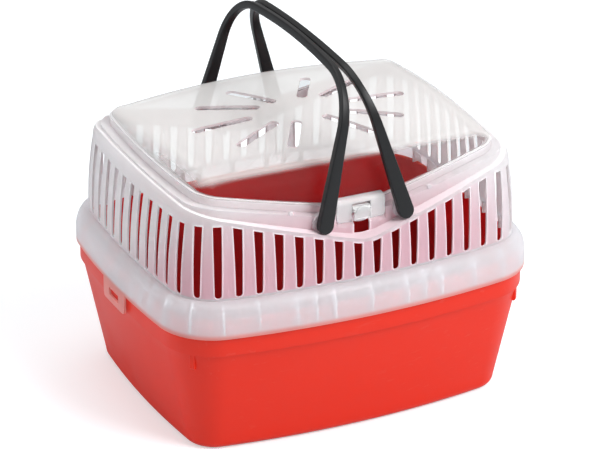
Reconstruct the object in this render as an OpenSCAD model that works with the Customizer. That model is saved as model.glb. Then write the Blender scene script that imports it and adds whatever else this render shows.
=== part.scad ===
// Small-pet carrier: a flared tub, a slotted cover lifted off it, a domed lid hinged at the
// back of the cover, a latch tab at the front of the lid and two bail handles.
// X runs along the length, the latch side faces -Y, Z is up, the origin is bottom centre.

/* [Drawing] */
// sub-part to draw, or all of them

/* [Plan outline] */
// distance of the corner centres from the middle along X
corner_x = 102; // [99.6:1.2:105.6]
// distance of the corner centres from the middle along Y
corner_y = 71.2; // [68.8:0.8:74.4]
// corner radius of the skirt outline
corner_r = 44.4; // [42.4:0.4:47.2]

/* [Tub] */
// height of the tub's rim above the floor
tub_h = 113; // [100:1:130]
// wall thickness of the tub
tub_wall = 2.2; // [1.8:0.1:2.6]
// inset of the wall at the foot, from the skirt outline
foot_in = 20.4; // [16:0.2:22]
// inset of the wall just below the step
flare_in = 4.5; // [4.3:0.1:5.5]
// radius of the rounded bottom edge
foot_r = 7.5; // [5:0.5:9]
// height of the step below the rim
step_drop = 28; // [24:1:34]
// inset of the band above the step
band_in = 2.7; // [2.6:0.1:3.2]
// inset of the upright rim
rim_in = 4.9; // [4.8:0.1:5.4]
// height of the four corner gussets below the step
gusset_h = 12; // [8:1:16]
// thickness of a corner gusset
gusset_t = 4; // [3:0.5:6]
// how far a gusset's face lies behind the band
gusset_back = 1.5; // [0.5:0.1:1.6]
// how far a clip lug stands into the wall that carries it
lug_root = 3; // [2.8:0.1:4]
// play of a clip lug in its hole, at each side
lug_play = 0.5; // [0.3:0.1:1]

/* [Cover] */
// wall thickness of the cover
cover_wall = 2; // [1.6:0.1:2.2]
// how far the skirt hangs below the tub's rim
skirt_drop = 13; // [10:1:16]
// height of the skirt's upright face
skirt_h = 10; // [7:1:12]
// rise of the rounded shoulder
shoulder_rise = 15.8; // [14:0.2:18]
// width of the rounded shoulder
shoulder_in = 9.6; // [9:0.1:10.2]
// height of the slotted wall
wall_rise = 58.2; // [56:0.2:66]
// lean of the slotted wall over its height
wall_lean = 4.6; // [3.5:0.1:5]
// rise of the rounded top edge at the ends
edge_rise = 9.2; // [8:0.2:10]
// width of the rounded top edge at the ends
edge_in = 6.3; // [5.5:0.1:6.5]
// inset of the band that carries the lid's seat
seat_in = 20.5; // [20.5:0.1:21]
// inset of the opening under the lid
mouth_in = 30; // [29.6:0.1:31]
// depth of the wall's V at the middle of a long side, below the cover's top
wall_dip = 38; // [37:0.2:39]
// depth of the seat's V at the middle of a long side, below the cover's top
seat_dip = 24.5; // [24:0.1:25]
// slope of the wall's V
wall_slope = 0.28; // [0.26:0.005:0.29]
// slope of the seat's V
seat_slope = 0.21; // [0.2:0.005:0.225]
// half length over which both V shapes are rounded
vee_round = 9; // [5:0.5:14]

/* [Slots and ribs] */
// number of slots on a quarter of the cover
slots_quarter = 15; // [13:1:16]
// width of a slot at its rounded foot
slot_foot_w = 4.3; // [3.5:0.1:5]
// width of a slot at its slanted top
slot_top_w = 7; // [6:0.1:7.6]
// height of a slot's foot above the shoulder
slot_foot_up = 1.6; // [1:0.1:3]
// bar left between a slot's top and the edge of the wall
slot_bar = 3.5; // [3:0.1:5]
// distance of the tallest slots' tops below the cover's top
slot_cap = 11.7; // [11:0.1:16]
// spacing step of the ribs inside the skirt
rib_pitch = 14.4; // [12:0.1:15]
// thickness of a rib
rib_t = 1.2; // [1:0.1:1.6]
// height of a rib's foot above the skirt's lower edge
rib_foot_up = 2; // [1:0.5:6]
// gap between a rib and the side of the tub's rim
rib_play = 0.5; // [0.3:0.1:0.8]

/* [Clips] */
// width of the clip tab at each end
clip_w = 38; // [30:1:44]
// how far a clip tab hangs below the skirt
clip_drop = 16; // [14:0.5:17]
// thickness of a clip tab
clip_t = 1.7; // [1.5:0.1:1.8]
// width of the hole in a clip tab
clip_hole_w = 17; // [12:1:20]
// height of the hole in a clip tab
clip_hole_h = 6; // [5:0.5:7]

/* [Lid] */
// wall thickness of the lid
lid_wall = 2; // [1.6:0.1:2.2]
// inset of the lid's rim
lid_in = 27; // [26.8:0.1:27.4]
// height of the lid's rim
lid_rim_h = 6.3; // [5.5:0.1:6.8]
// gap between the lid's rim and its seat
lid_gap = 0.3; // [0.2:0.05:0.4]
// inset of the dome's upright wall
dome_in = 28.7; // [28.5:0.1:29]
// height of the dome's spring line above the cover's top
dome_spring = 3.8; // [3:0.1:6]
// rise of the dome's rounded edge
dome_rise = 11.5; // [9:0.5:14]
// rise of the crown above the dome's rounded edge
crown_rise = 4.5; // [3:0.1:6]
// number of steps the radial vents divide a full turn into; none lies across the middle
vents = 12; // [8:4:12]
// width of a vent
vent_w = 8; // [6:0.5:8]
// half length along X of the oval where the vents start
vent_from_x = 38; // [34:1:42]
// half width along Y of the oval where the vents start
vent_from_y = 19; // [18:1:24]
// half length along X of the oval where the vents end
vent_to_x = 86; // [78:1:88]
// half width along Y of the oval where the vents end
vent_to_y = 61; // [54:1:62]

/* [Lid hinge] */
// inset of the hinge axis from the width's edge
hinge_in = 20; // [19.5:0.1:20.5]
// depth of the hinge axis below the cover's top
hinge_dip = 17.2; // [16.5:0.1:17.4]
// radius of the lid's knuckle
knuckle_r = 4; // [3.6:0.1:4.2]
// half length of the lid's knuckle
knuckle_x = 12.7; // [10:0.1:14]
// radius of the hinge pins on the knuckle
hinge_pin_r = 2.2; // [1.8:0.1:2.4]
// thickness of each hinge ear on the cover
ear_t = 5; // [4:0.5:6]
// radius of a hinge ear
ear_r = 4.4; // [4.2:0.1:4.8]

/* [Latch] */
// half width of the hood over the latch
hood_x = 19; // [17:0.5:19.5]
// inset of the hood's face from the width's edge
hood_in = 22; // [21.8:0.1:22.4]
// depth of the hood's lower edge below the cover's top
hood_foot_dip = 27.2; // [27:0.1:28]
// depth of the hood's upper edge below the cover's top
hood_head_dip = 10.4; // [9:0.2:12]
// wall thickness of the hood
hood_t = 1.8; // [1.6:0.1:2]
// radius of the hood's rounded upper edge
hood_r = 4; // [2:0.5:5]
// play between the hood and its pocket, below and beside
hood_play = 0.8; // [0.5:0.1:1]
// depth of the slot cut in the hood for the tab
hood_depth = 5.4; // [5:0.1:6]
// half width of the latch tab
latch_x = 7; // [5.5:0.1:7.5]
// thickness of the latch tab
latch_t = 1.9; // [1.6:0.1:2.2]
// gap between the latch tab and the band behind it
latch_gap = 0.4; // [0.3:0.05:0.6]
// depth of the latch axis below the cover's top
latch_dip = 18.1; // [17.5:0.1:18.7]
// length of the tab above its axis
latch_up = 3; // [2:0.5:4]
// length of the tab below its axis
latch_down = 7; // [6:0.5:9]
// radius of the latch pin
latch_pin_r = 1.5; // [1.3:0.1:1.7]
// radius of the latch's knuckle
latch_knuckle_r = 2.4; // [2.2:0.1:2.6]
// sideways play of the tab in its slot
latch_side = 0.4; // [0.3:0.05:0.6]
// thickness of the cheeks that hold the latch pin
latch_rib = 2.1; // [1.8:0.1:2.4]
// how far the window's edges lie inside the wall and the tab
window_in = 0.8; // [0.6:0.1:1]

/* [Handles] */
// distance of each handle's axis from the middle
pivot_x = 31.9; // [31:0.1:33]
// depth of the handle axes below the cover's top
pivot_dip = 22.5; // [22.2:0.1:22.6]
// distance of the left handle's top from the middle
top_left = 4.7; // [4.6:0.1:8]
// distance of the right handle's top from the middle
top_right = 1.1; // [1:0.1:6]
// height of a handle above its axis
bail_h = 110.3; // [106:0.1:116]
// width of the strap at the axis
strap_foot_w = 11.8; // [11:0.1:12]
// width of the strap across the top
strap_top_w = 5.2; // [4.6:0.1:5.2]
// height at which the taper of the strap ends
taper_h = 94; // [86:1:98]
// thickness of the strap
strap_t = 5.8; // [5:0.1:6]
// radius of the handle's outer corners
bail_r = 44; // [42:1:46]
// lean of each leg towards the middle, in degrees
leg_lean = 6.6; // [6:0.1:7]
// rise of the handle's top at its middle
bail_bow = 3.8; // [2.5:0.1:5]
// radius of the round bosses that carry the handles
boss_r = 7.5; // [6.5:0.1:8]
// how far a boss stands out of the band
boss_out = 2; // [1.6:0.1:2.2]
// gap between a boss and the strap
boss_gap = 1.3; // [0.9:0.1:1.6]
// radius of the handle pins
pin_r = 3; // [2.5:0.1:3.1]
// running clearance of every pin in its bore, on the radius
pin_clear = 0.08; // [0.05:0.01:0.1]

/* [Hidden] */
$fn = 48;
ring_fn = 360;
eps = 0.01;
reach = 400;

tub_col = [0.86, 0.16, 0.13];
cover_col = [0.93, 0.9, 0.91, 0.6];
lid_col = [0.95, 0.96, 0.97, 0.45];
black_col = [0.08, 0.08, 0.08];
latch_col = [0.97, 0.97, 0.98, 0.6];

// outline: two long arcs, two end arcs and four tangent corners; whole-number right
// triangles [short, long, slant] set the arcs, so that every arc meets its corner exactly
side_tri = [24, 143, 145];
end_tri = [40, 399, 401];
side_c = side_tri[1] * corner_x / side_tri[0] - corner_y;
side_r = side_tri[2] * corner_x / side_tri[0] + corner_r;
end_c = end_tri[1] * corner_y / end_tri[0] - corner_x;
end_r = end_tri[2] * corner_y / end_tri[0] + corner_r;
side_half = atan(side_tri[0] / side_tri[1]);
end_half = atan(end_tri[0] / end_tri[1]);
corner_sweep = 90 - side_half - end_half;
half_w = side_r - side_c;
half_l = end_r - end_c;

// heights
skirt_z = tub_h - skirt_drop;
step_z = tub_h - step_drop;
shoulder_z = skirt_z + skirt_h + shoulder_rise;
edge_z = shoulder_z + wall_rise;
cover_top = edge_z + edge_rise;
wall_top_in = shoulder_in + wall_lean;
dome_z = cover_top + dome_spring;
crown_z = dome_z + dome_rise + crown_rise;
hinge_y = half_w - hinge_in;
hinge_z = cover_top - hinge_dip;
latch_z = cover_top - latch_dip;
pivot_z = cover_top - pivot_dip;

// latch: place of its axis and end of its pin
latch_y = -half_w + hood_in + latch_pin_r;
latch_pin_end = latch_x + latch_side / 2 + latch_rib;

// bail: outer face of a leg at the axis, bow of the top and centre of a corner
leg_y = side_y(pivot_x, seat_in) + boss_out + boss_gap + strap_t;
bow_r = pow(leg_y - bail_r, 2) / (2 * bail_bow);
bow_c = bail_h - bow_r;
lean_left = tidy(asin((pivot_x - top_left) / bail_h));
lean_right = tidy(asin((pivot_x - top_right) / bail_h));
bail_a = (leg_y * cos(leg_lean) - bail_r) / cos(leg_lean);
bail_b = -tan(leg_lean);
bail_k = bow_r - bail_r;
bail_m = bail_a * bail_b - bow_c;
bail_q = 1 + bail_b * bail_b;
bail_w = (-bail_m + sqrt(bail_m * bail_m - bail_q * (bail_a * bail_a + bow_c * bow_c - bail_k * bail_k))) / bail_q;
bail_c = [bail_a + bail_b * bail_w, bail_w];

function tidy(v) = round(v * 1000) / 1000;
function quarter(d0, z0, dd, dz, n, from) =
    [for (i = [from:n]) [tidy(d0 + dd * (1 - cos(90 * i / n))), tidy(z0 + dz * sin(90 * i / n))]];
function vee(x, dip, slope) =
    cover_top - dip + slope * (abs(x) < vee_round ? vee_round / 2 + x * x / (2 * vee_round) : abs(x));
function wall_edge(x) = min(vee(x, wall_dip, wall_slope), cover_top);
function seat_edge(x) = min(vee(x, seat_dip, seat_slope), cover_top);
function side_y(x, d) = sqrt((side_r - d) * (side_r - d) - x * x) - side_c;

// profiles, each point as [inset, height], from the foot upwards
function cover_line(t) = concat(
    [[t, skirt_z - (t > 0 ? 2 * t : 0)]],
    quarter(t, skirt_z + skirt_h - t, shoulder_in, shoulder_rise, 5, 0),
    [for (i = [1:4]) [tidy(shoulder_in + wall_lean * i * i / 16 + t), tidy(shoulder_z + wall_rise * i / 4 - t)]],
    quarter(wall_top_in + t, edge_z - t, edge_in, edge_rise, 4, 1));
function lid_line(t) = concat(
    [[dome_in + t, cover_top - 2 * wall_dip]],
    quarter(dome_in + t, dome_z - t, corner_r - dome_in - t, dome_rise, 6, 0),
    [[corner_r, crown_z + 1]]);

// solid filling the outline inside a profile of [inset, height] points
module filled(line) {
    low = line[0][1];
    high = line[len(line) - 1][1];
    swept(
        concat([[0, low]], [for (p = line) [side_r - p[0], p[1]]], [[0, high]]),
        concat([[0, low]], [for (p = line) [end_r - p[0], p[1]]], [[0, high]]),
        concat([[0, low]], [for (p = line) if (p[0] < corner_r) [corner_r - p[0], p[1]]], [[0, high]]));
    translate([-corner_x, -corner_y, low])
        cube([2 * corner_x, 2 * corner_y, high - low]);
}

// ring following the outline, with a section of [inset, height] points
module ring(section) {
    swept([for (p = section) [side_r - p[0], p[1]]], [for (p = section) [end_r - p[0], p[1]]],
        [for (p = section) [corner_r - p[0], p[1]]]);
}

// the outline's eight pieces: sections turned about each arc's axis, cut off at the seams
module swept(side, end, pie) {
    a = [corner_x, corner_y];
    p = a + 2 * [side_tri[0], side_tri[1]];
    q = a + [end_tri[1], end_tri[0]];
    for (m = [0, 1])
        mirror([0, m, 0])
            piece([0, -side_c], side, [a, p, [-p[0], p[1]], [-a[0], a[1]]]);
    for (m = [0, 1])
        mirror([m, 0, 0])
            piece([-end_c, 0], end, [a, [a[0], -a[1]], [q[0], -q[1]], q]);
    for (mx = [0, 1])
        for (my = [0, 1])
            mirror([mx, 0, 0])
                mirror([0, my, 0])
                    piece(a, pie, [a, q, [q[0], p[1]], p]);
}

module piece(axis, section, wedge) {
    heights = [for (v = section) v[1]];
    intersection() {
        translate(axis)
            rotate([0, 0, 180])
                rotate_extrude($fn = ring_fn)
                    polygon(section);
        translate([0, 0, min(heights) - 1])
            linear_extrude(max(heights) - min(heights) + 2)
                polygon(wedge);
    }
}

// prism along Y from a section of [x, z] points
module along_y(points) {
    rotate([90, 0, 0])
        linear_extrude(reach, center = true)
            polygon(points);
}

// prism along X between two stations, from a section of [y, z] points
module along_x(from, to, points) {
    translate([from, 0, 0])
        rotate([90, 0, 90])
            linear_extrude(to - from)
                polygon(points);
}

// round bar along X
module bar_x(from, to, y, z, r) {
    translate([from, y, z])
        rotate([0, 90, 0])
            cylinder(h = to - from, r = r);
}

// round bar along Y
module bar_y(x, from, to, z, r) {
    translate([x, from, z])
        rotate([-90, 0, 0])
            cylinder(h = to - from, r = r);
}

// everything under a V shaped edge, lowered by a drop
module under_vee(dip, slope, drop) {
    far = dip / slope;
    half = concat([for (i = [0:3]) i * vee_round / 3], [far]);
    right = [for (x = half) [x, vee(x, dip, slope) - drop]];
    left = [for (i = [len(half) - 1:-1:1]) [-half[i], vee(half[i], dip, slope) - drop]];
    along_y(concat([[-reach, -eps], [-reach, cover_top - drop]], left, right,
        [[reach, cover_top - drop], [reach, -eps]]));
}

/* ---- tub ---- */
module tub() {
    low = foot_r;
    rise = step_z - low;
    inner_in = rim_in + tub_wall;
    outer = concat([for (i = [5:-1:0]) [tidy(foot_in + foot_r * (1 - cos(18 * i))),
        tidy(foot_r * (1 - sin(18 * i)))]],
        [[flare_in, step_z], [band_in, step_z], [band_in, skirt_z], [rim_in, skirt_z], [rim_in, tub_h]]);
    inner = concat([for (i = [5:-1:0]) [tidy(foot_in + tub_wall + foot_r * (1 - cos(18 * i))),
        tidy(tub_wall + foot_r * (1 - sin(18 * i)))]], [[inner_in, step_z], [inner_in, tub_h + 1]]);
    color(tub_col) {
        difference() {
            filled(outer);
            filled(inner);
        }
        for (sx = [0, 1])
            for (sy = [0, 1])
                mirror([sx, 0, 0])
                    mirror([0, sy, 0])
                        gusset();
        for (s = [0, 1])
            mirror([s, 0, 0])
                clip_lug();
    }
}

// small gusset under the step at a corner
module gusset() {
    mid = end_half + corner_sweep / 2;
    out = corner_r - band_in - gusset_back;
    foot = corner_r - flare_in - (foot_in - flare_in) * (gusset_h + tub_wall) / (step_z - foot_r) - tub_wall / 2;
    translate([corner_x, corner_y, step_z - gusset_h])
        rotate([0, 0, mid])
            translate([foot, -gusset_t / 2, 0])
                cube([out - foot, gusset_t, gusset_h + tub_wall / 2]);
}

// lug on the tub's end, facing the hole of the clip tab
module clip_lug() {
    lug_w = clip_hole_w - 2 * lug_play;
    lug_h = clip_hole_h - 4 * lug_play;
    out = clip_t + lid_gap;
    top = skirt_z - clip_drop + (clip_drop + clip_hole_h) / 2 - 2 * lug_play;
    translate([half_l - out - lug_root, -lug_w / 2, top - lug_h])
        cube([lug_root, lug_w, lug_h]);
}

/* ---- cover ---- */
module cover() {
    color(cover_col)
        difference() {
            union() {
                difference() {
                    cover_outside();
                    cover_inside();
                }
                skirt_ribs();
                clip_tabs();
                bosses();
                hinge_ears();
            }
            filled([[mouth_in, shoulder_z], [mouth_in, cover_top + 1]]);
            slots();
            handle_bores();
            hinge_bore();
            latch_window();
        }
}

module cover_outside() {
    difference() {
        union() {
            intersection() {
                filled(cover_line(0));
                under_vee(wall_dip, wall_slope, 0);
            }
            intersection() {
                filled([[seat_in, shoulder_z], [seat_in, cover_top]]);
                under_vee(seat_dip, seat_slope, 0);
            }
        }
        hood_pocket(0);
    }
}

module cover_inside() {
    difference() {
        union() {
            intersection() {
                filled(cover_line(cover_wall));
                under_vee(wall_dip, wall_slope, cover_wall);
            }
            intersection() {
                filled([[seat_in + cover_wall, shoulder_z], [seat_in + cover_wall, cover_top]]);
                under_vee(seat_dip, seat_slope, cover_wall);
            }
        }
        hood_pocket(cover_wall);
    }
}

// pocket in the band's front where the lid's hood hangs
module hood_pocket(grow) {
    floor_z = cover_top - hood_foot_dip - hood_play - grow;
    back_y = -half_w + hood_in + hood_t + lid_gap + grow;
    side = hood_x + hood_play + grow;
    translate([-side, back_y - 2 * hood_in, floor_z])
        cube([2 * side, 2 * hood_in, wall_dip]);
}

// thin ribs inside the skirt that rest on the tub's rim
module skirt_ribs() {
    side_steps = [0, 2, 3, 4, 6];
    end_steps = [0, 2, 3, 4];
    long_r = side_r - shoulder_in / 2;
    short_r = end_r - shoulder_in / 2;
    intersection() {
        rib_zone();
        union() {
            for (m = [0, 1])
                for (n = side_steps)
                    for (s = [0, 180])
                        mirror([m, 0, 0])
                            rotate([0, 0, s])
                                translate([0, -side_c, 0])
                                    rib_plate(90 - n * rib_pitch * 180 / (PI * long_r), long_r);
            for (m = [0, 1])
                for (n = end_steps)
                    for (s = [0, 180])
                        mirror([0, m, 0])
                            rotate([0, 0, s])
                                translate([-end_c, 0, 0])
                                    rib_plate(n * rib_pitch * 180 / (PI * short_r), short_r);
            for (m = [0, 1])
                for (f = [0.06, 0.5, 0.94])
                    for (s = [0, 180])
                        rotate([0, 0, s])
                            mirror([m, 0, 0])
                                translate([corner_x, corner_y, 0])
                                    rib_plate(end_half + f * corner_sweep, corner_r - shoulder_in / 2);
        }
    }
}

module rib_plate(angle, r) {
    rotate([0, 0, angle])
        translate([r - shoulder_in, -rib_t / 2, skirt_z])
            cube([2 * shoulder_in, rib_t, shoulder_z - skirt_z]);
}

// ring in which the ribs lie: clear of the tub's rim at its side, resting on its top
module rib_zone() {
    skin = cover_wall / 2;
    foot = skirt_z + rib_foot_up;
    side_in = rim_in - rib_play;
    line = quarter(skin, skirt_z + skirt_h - skin, shoulder_in, shoulder_rise, 5, 0);
    ring(concat([[skin, foot]], [for (p = line) if (p[0] < shoulder_in) p],
        [[shoulder_in, shoulder_z - cover_wall], [shoulder_in, tub_h], [side_in, tub_h],
        [side_in, foot]]));
}

// holed tab hanging from the skirt at each end
module clip_tabs() {
    foot = skirt_z - clip_drop;
    hole_z = foot + (clip_drop - clip_hole_h) / 2;
    difference() {
        intersection() {
            ring([[0, foot], [0, skirt_z + skirt_h], [clip_t, skirt_z + skirt_h], [clip_t, foot]]);
            translate([-reach / 2, -clip_w / 2, foot])
                cube([reach, clip_w, reach]);
        }
        translate([-reach / 2, -clip_hole_w / 2, hole_z])
            cube([reach, clip_hole_w, clip_hole_h]);
    }
}

// round bosses on the band, front and back, that carry the handle pins
module bosses() {
    face = side_y(pivot_x, seat_in) + boss_out;
    for (x = [-pivot_x, pivot_x])
        for (s = [0, 1])
            mirror([0, s, 0])
                bar_y(x, face - boss_out - cover_wall, face, pivot_z, boss_r);
}

module handle_bores() {
    for (x = [-pivot_x, pivot_x])
        bar_y(x, -reach / 2, reach / 2, pivot_z, pin_r + pin_clear);
}

// slots around the wall, spaced evenly along the outline
module slots() {
    slot_in = shoulder_in + wall_lean / 3;
    side_run = (side_r - slot_in) * side_half * PI / 180;
    corner_run = (corner_r - slot_in) * corner_sweep * PI / 180;
    end_run = (end_r - slot_in) * end_half * PI / 180;
    pitch = (side_run + corner_run + end_run) / slots_quarter;
    for (i = [0:slots_quarter - 1])
        for (mx = [0, 1])
            for (my = [0, 1])
                mirror([mx, 0, 0])
                    mirror([0, my, 0])
                        slot_at((i + 0.5) * pitch, slot_in, side_run, corner_run);
}

module slot_at(run, slot_in, side_run, corner_run) {
    on_side = run < side_run;
    on_corner = !on_side && run < side_run + corner_run;
    r = (on_side ? side_r : on_corner ? corner_r : end_r) - slot_in;
    left = run - (on_side ? 0 : on_corner ? side_run : side_run + corner_run);
    from = on_side ? 90 : on_corner ? 90 - side_half : end_half;
    angle = from - left * 180 / (PI * r);
    cx = on_side ? 0 : on_corner ? corner_x : -end_c;
    cy = on_side ? -side_c : on_corner ? corner_y : 0;
    slot(cx + r * cos(angle), cy + r * sin(angle), angle, slot_in);
}

module slot(x, y, angle, slot_in) {
    foot = slot_foot_w / 2;
    top = slot_top_w / 2;
    low = shoulder_z + slot_foot_up + foot;
    depth = wall_top_in + 2 * cover_wall;
    function edge(u) = min(wall_edge(x - u * sin(angle)) - slot_bar, cover_top - slot_cap);
    translate([x, y, 0])
        rotate([0, 0, angle + 90])
            translate([0, depth - slot_in, 0])
                rotate([90, 0, 0])
                    linear_extrude(depth) {
                        translate([0, low])
                            circle(r = foot);
                        polygon([[-foot, low], [foot, low], [top, edge(top)], [-top, edge(-top)]]);
                    }
}

// window through the band and the foot of its pocket, under the latch tab
module latch_window() {
    high = seat_edge(0) - cover_wall - window_in;
    low = wall_edge(0) + window_in;
    side = latch_x - window_in;
    translate([-side, -half_w + seat_in - window_in, low])
        cube([2 * side, hood_depth + window_in, high - low]);
}

// two ears at the back that hold the lid's hinge pins
module hinge_ears() {
    from = knuckle_x + lid_gap;
    foot = wall_edge(0) - cover_wall / 2;
    for (s = [0, 1])
        mirror([s, 0, 0]) {
            bar_x(from, from + ear_t, hinge_y, hinge_z, ear_r);
            translate([from, hinge_y - ear_r, foot])
                cube([ear_t, 2 * ear_r, hinge_z - foot]);
        }
}

module hinge_bore() {
    end = knuckle_x + lid_gap + ear_t + 1;
    bar_x(-end, end, hinge_y, hinge_z, hinge_pin_r + pin_clear);
}

/* ---- lid ---- */
module lid() {
    color(lid_col) {
        difference() {
            lid_outside();
            lid_inside();
            under_vee(seat_dip, seat_slope, -lid_gap);
            vent_cutters();
        }
        hood();
        lid_knuckle();
    }
}

module lid_outside() {
    low = cover_top - seat_dip;
    intersection() {
        filled([[lid_in, low], [lid_in, cover_top + lid_gap + lid_rim_h]]);
        under_vee(seat_dip, seat_slope, -lid_gap - lid_rim_h);
    }
    intersection() {
        filled(lid_line(0));
        crown(0);
    }
}

module lid_inside() {
    intersection() {
        filled(lid_line(lid_wall));
        crown(lid_wall);
    }
}

// everything below the crown's doubly curved surface
module crown(drop) {
    across = half_w - corner_r;
    along = half_l - corner_r;
    round_y = across * across / (2 * crown_rise);
    round_x = along * along / (2 * crown_rise);
    n = 6;
    line = [for (i = [-n:n]) [round_y - drop - pow(half_l * i / n, 2) / (2 * round_x), half_l * i / n]];
    translate([0, 0, crown_z - round_y])
        rotate([0, 90, 0])
            rotate_extrude($fn = ring_fn)
                polygon(concat([[0, -half_l]], line, [[0, half_l]]));
}

function oval(x, y, a) = 1 / sqrt(pow(cos(a) / x, 2) + pow(sin(a) / y, 2));

// radial vents with rounded ends, on both sides of the middle
module vent_cutters() {
    for (i = [0:vents - 1]) {
        a = 360 * i / vents;
        from = oval(vent_from_x, vent_from_y, a) + vent_w / 2;
        run = oval(vent_to_x, vent_to_y, a) - from - vent_w / 2;
        if (abs(cos(a)) > eps)
            translate([0, 0, dome_z])
                rotate([0, 0, a])
                    linear_extrude(reach) {
                        translate([from, 0])
                            circle(d = vent_w);
                        translate([from + run, 0])
                            circle(d = vent_w);
                        translate([from, -vent_w / 2])
                            square([run, vent_w]);
                    }
    }
}

// hood over the latch: a face hanging before the band, open below, with a slot for the tab
module hood() {
    face = -half_w + hood_in;
    back = -half_w + dome_in + lid_wall / 2;
    foot = cover_top - hood_foot_dip;
    head = cover_top - hood_head_dip;
    seat = seat_edge(hood_x) + lid_gap;
    cheek = latch_x + latch_side + latch_rib;
    edge = [for (i = [3:-1:0]) [face + hood_r * (1 - cos(30 * i)), head - hood_r * (1 - sin(30 * i))]];
    difference() {
        along_x(-hood_x, hood_x, concat([[face, foot], [face + hood_t, foot], [face + hood_t, seat],
            [back, seat], [back, head]], edge));
        for (s = [0, 1])
            mirror([s, 0, 0])
                translate([cheek, face + hood_t, foot - 1])
                    cube([hood_x - hood_t - cheek, hood_in, latch_z + latch_up - foot + 1]);
        translate([-latch_x - latch_side, face - 1, foot - 1])
            cube([2 * (latch_x + latch_side), hood_depth, latch_z + latch_up + 2 - foot]);
        bar_x(-cheek - 1, cheek + 1, latch_y, latch_z, latch_pin_r + pin_clear);
    }
}

// knuckle and hinge pins on the back of the lid's rim
module lid_knuckle() {
    pin_end = knuckle_x + ear_t;
    bar_x(-knuckle_x, knuckle_x, hinge_y, hinge_z, knuckle_r);
    bar_x(-pin_end, pin_end, hinge_y, hinge_z, hinge_pin_r);
    translate([-knuckle_x, half_w - lid_in - lid_wall / 2, hinge_z - knuckle_r])
        cube([2 * knuckle_x, lid_in + lid_wall / 2 - hinge_in, knuckle_r]);
}

/* ---- latch ---- */
module latch() {
    back = -half_w + seat_in - latch_gap;
    top = latch_z + latch_up;
    color(latch_col) {
        translate([0, back, 0])
            rotate([90, 0, 0])
                linear_extrude(latch_t) {
                    translate([0, top - latch_x])
                        circle(r = latch_x);
                    translate([-latch_x, latch_z - latch_down])
                        square([2 * latch_x, latch_down + latch_up - latch_x]);
                }
        translate([-latch_x, back - latch_t / 2, latch_z - latch_knuckle_r / 2])
            cube([2 * latch_x, latch_y - back + latch_t / 2, latch_knuckle_r]);
        bar_x(-latch_x, latch_x, latch_y, latch_z, latch_knuckle_r);
        bar_x(-latch_pin_end, latch_pin_end, latch_y, latch_z, latch_pin_r);
    }
}

/* ---- handles ---- */
module handle_left() {
    color(black_col)
        translate([-pivot_x, 0, pivot_z])
            rotate([0, lean_left, 0])
                bail();
}

module handle_right() {
    color(black_col)
        translate([pivot_x, 0, pivot_z])
            rotate([0, -lean_right, 0])
                bail();
}

// bail in its own frame: axis along Y through the origin, top towards Z
module bail() {
    foot_r = strap_foot_w / 2;
    pin_from = side_y(pivot_x, seat_in + cover_wall) + lid_gap;
    intersection() {
        rotate([90, 0, 90])
            linear_extrude(2 * boss_r, center = true)
                difference() {
                    bail_shape(0);
                    bail_shape(strap_t);
                }
        rotate([90, 0, 0])
            linear_extrude(reach, center = true) {
                circle(r = foot_r);
                polygon([[-foot_r, 0], [foot_r, 0], [strap_top_w / 2, taper_h], [strap_top_w / 2, 2 * taper_h],
                    [-strap_top_w / 2, 2 * taper_h], [-strap_top_w / 2, taper_h]]);
            }
    }
    for (s = [0, 1])
        mirror([0, s, 0])
            bar_y(0, pin_from, leg_y - strap_t / 2, 0, pin_r);
}

// area inside the bail's outline, moved inwards by an inset
module bail_shape(inset) {
    r = bail_r - inset;
    leg = leg_y * cos(leg_lean) - inset;
    low = -2 * boss_r;
    foot = (leg - low * sin(leg_lean)) / cos(leg_lean);
    p = bail_c + r * [cos(leg_lean), sin(leg_lean)];
    u = (bail_c - [0, bow_c]) / norm(bail_c - [0, bow_c]);
    q = bail_c + r * u;
    w = [0, bow_c] + 1.2 * bow_r * u;
    polygon([[foot, low], p, q, [-q[0], q[1]], [-p[0], p[1]], [-foot, low]]);
    translate(bail_c)
        circle(r = r, $fn = 180);
    translate([-bail_c[0], bail_c[1]])
        circle(r = r, $fn = 180);
    intersection() {
        translate([0, bow_c])
            circle(r = bow_r - inset, $fn = 720);
        polygon([[0, bow_c], w, [-w[0], w[1]]]);
    }
}

tub();
cover();
lid();
latch();
handle_left();
handle_right();
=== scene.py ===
"""Looks of a small-pet carrier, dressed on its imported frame.

A red flared tub, a frosted cover with slots all round, a clear domed lid with its latch, and two
black bail handles. Lengths below are in millimetres and become metres when a mesh is made."""

import math

import bmesh
import bpy
import numpy as np
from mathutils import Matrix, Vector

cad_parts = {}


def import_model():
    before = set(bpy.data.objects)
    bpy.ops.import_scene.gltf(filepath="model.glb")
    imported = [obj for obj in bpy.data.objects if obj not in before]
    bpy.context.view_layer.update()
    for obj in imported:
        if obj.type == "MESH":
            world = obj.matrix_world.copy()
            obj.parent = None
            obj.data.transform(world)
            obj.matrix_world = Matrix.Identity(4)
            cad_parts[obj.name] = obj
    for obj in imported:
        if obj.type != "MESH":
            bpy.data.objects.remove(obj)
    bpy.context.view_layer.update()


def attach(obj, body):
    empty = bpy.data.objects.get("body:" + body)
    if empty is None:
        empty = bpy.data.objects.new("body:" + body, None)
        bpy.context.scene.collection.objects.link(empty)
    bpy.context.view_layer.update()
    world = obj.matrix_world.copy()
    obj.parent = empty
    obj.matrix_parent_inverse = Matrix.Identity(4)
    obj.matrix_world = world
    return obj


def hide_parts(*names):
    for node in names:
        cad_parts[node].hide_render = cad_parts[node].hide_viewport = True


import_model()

MM = 0.001

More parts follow.
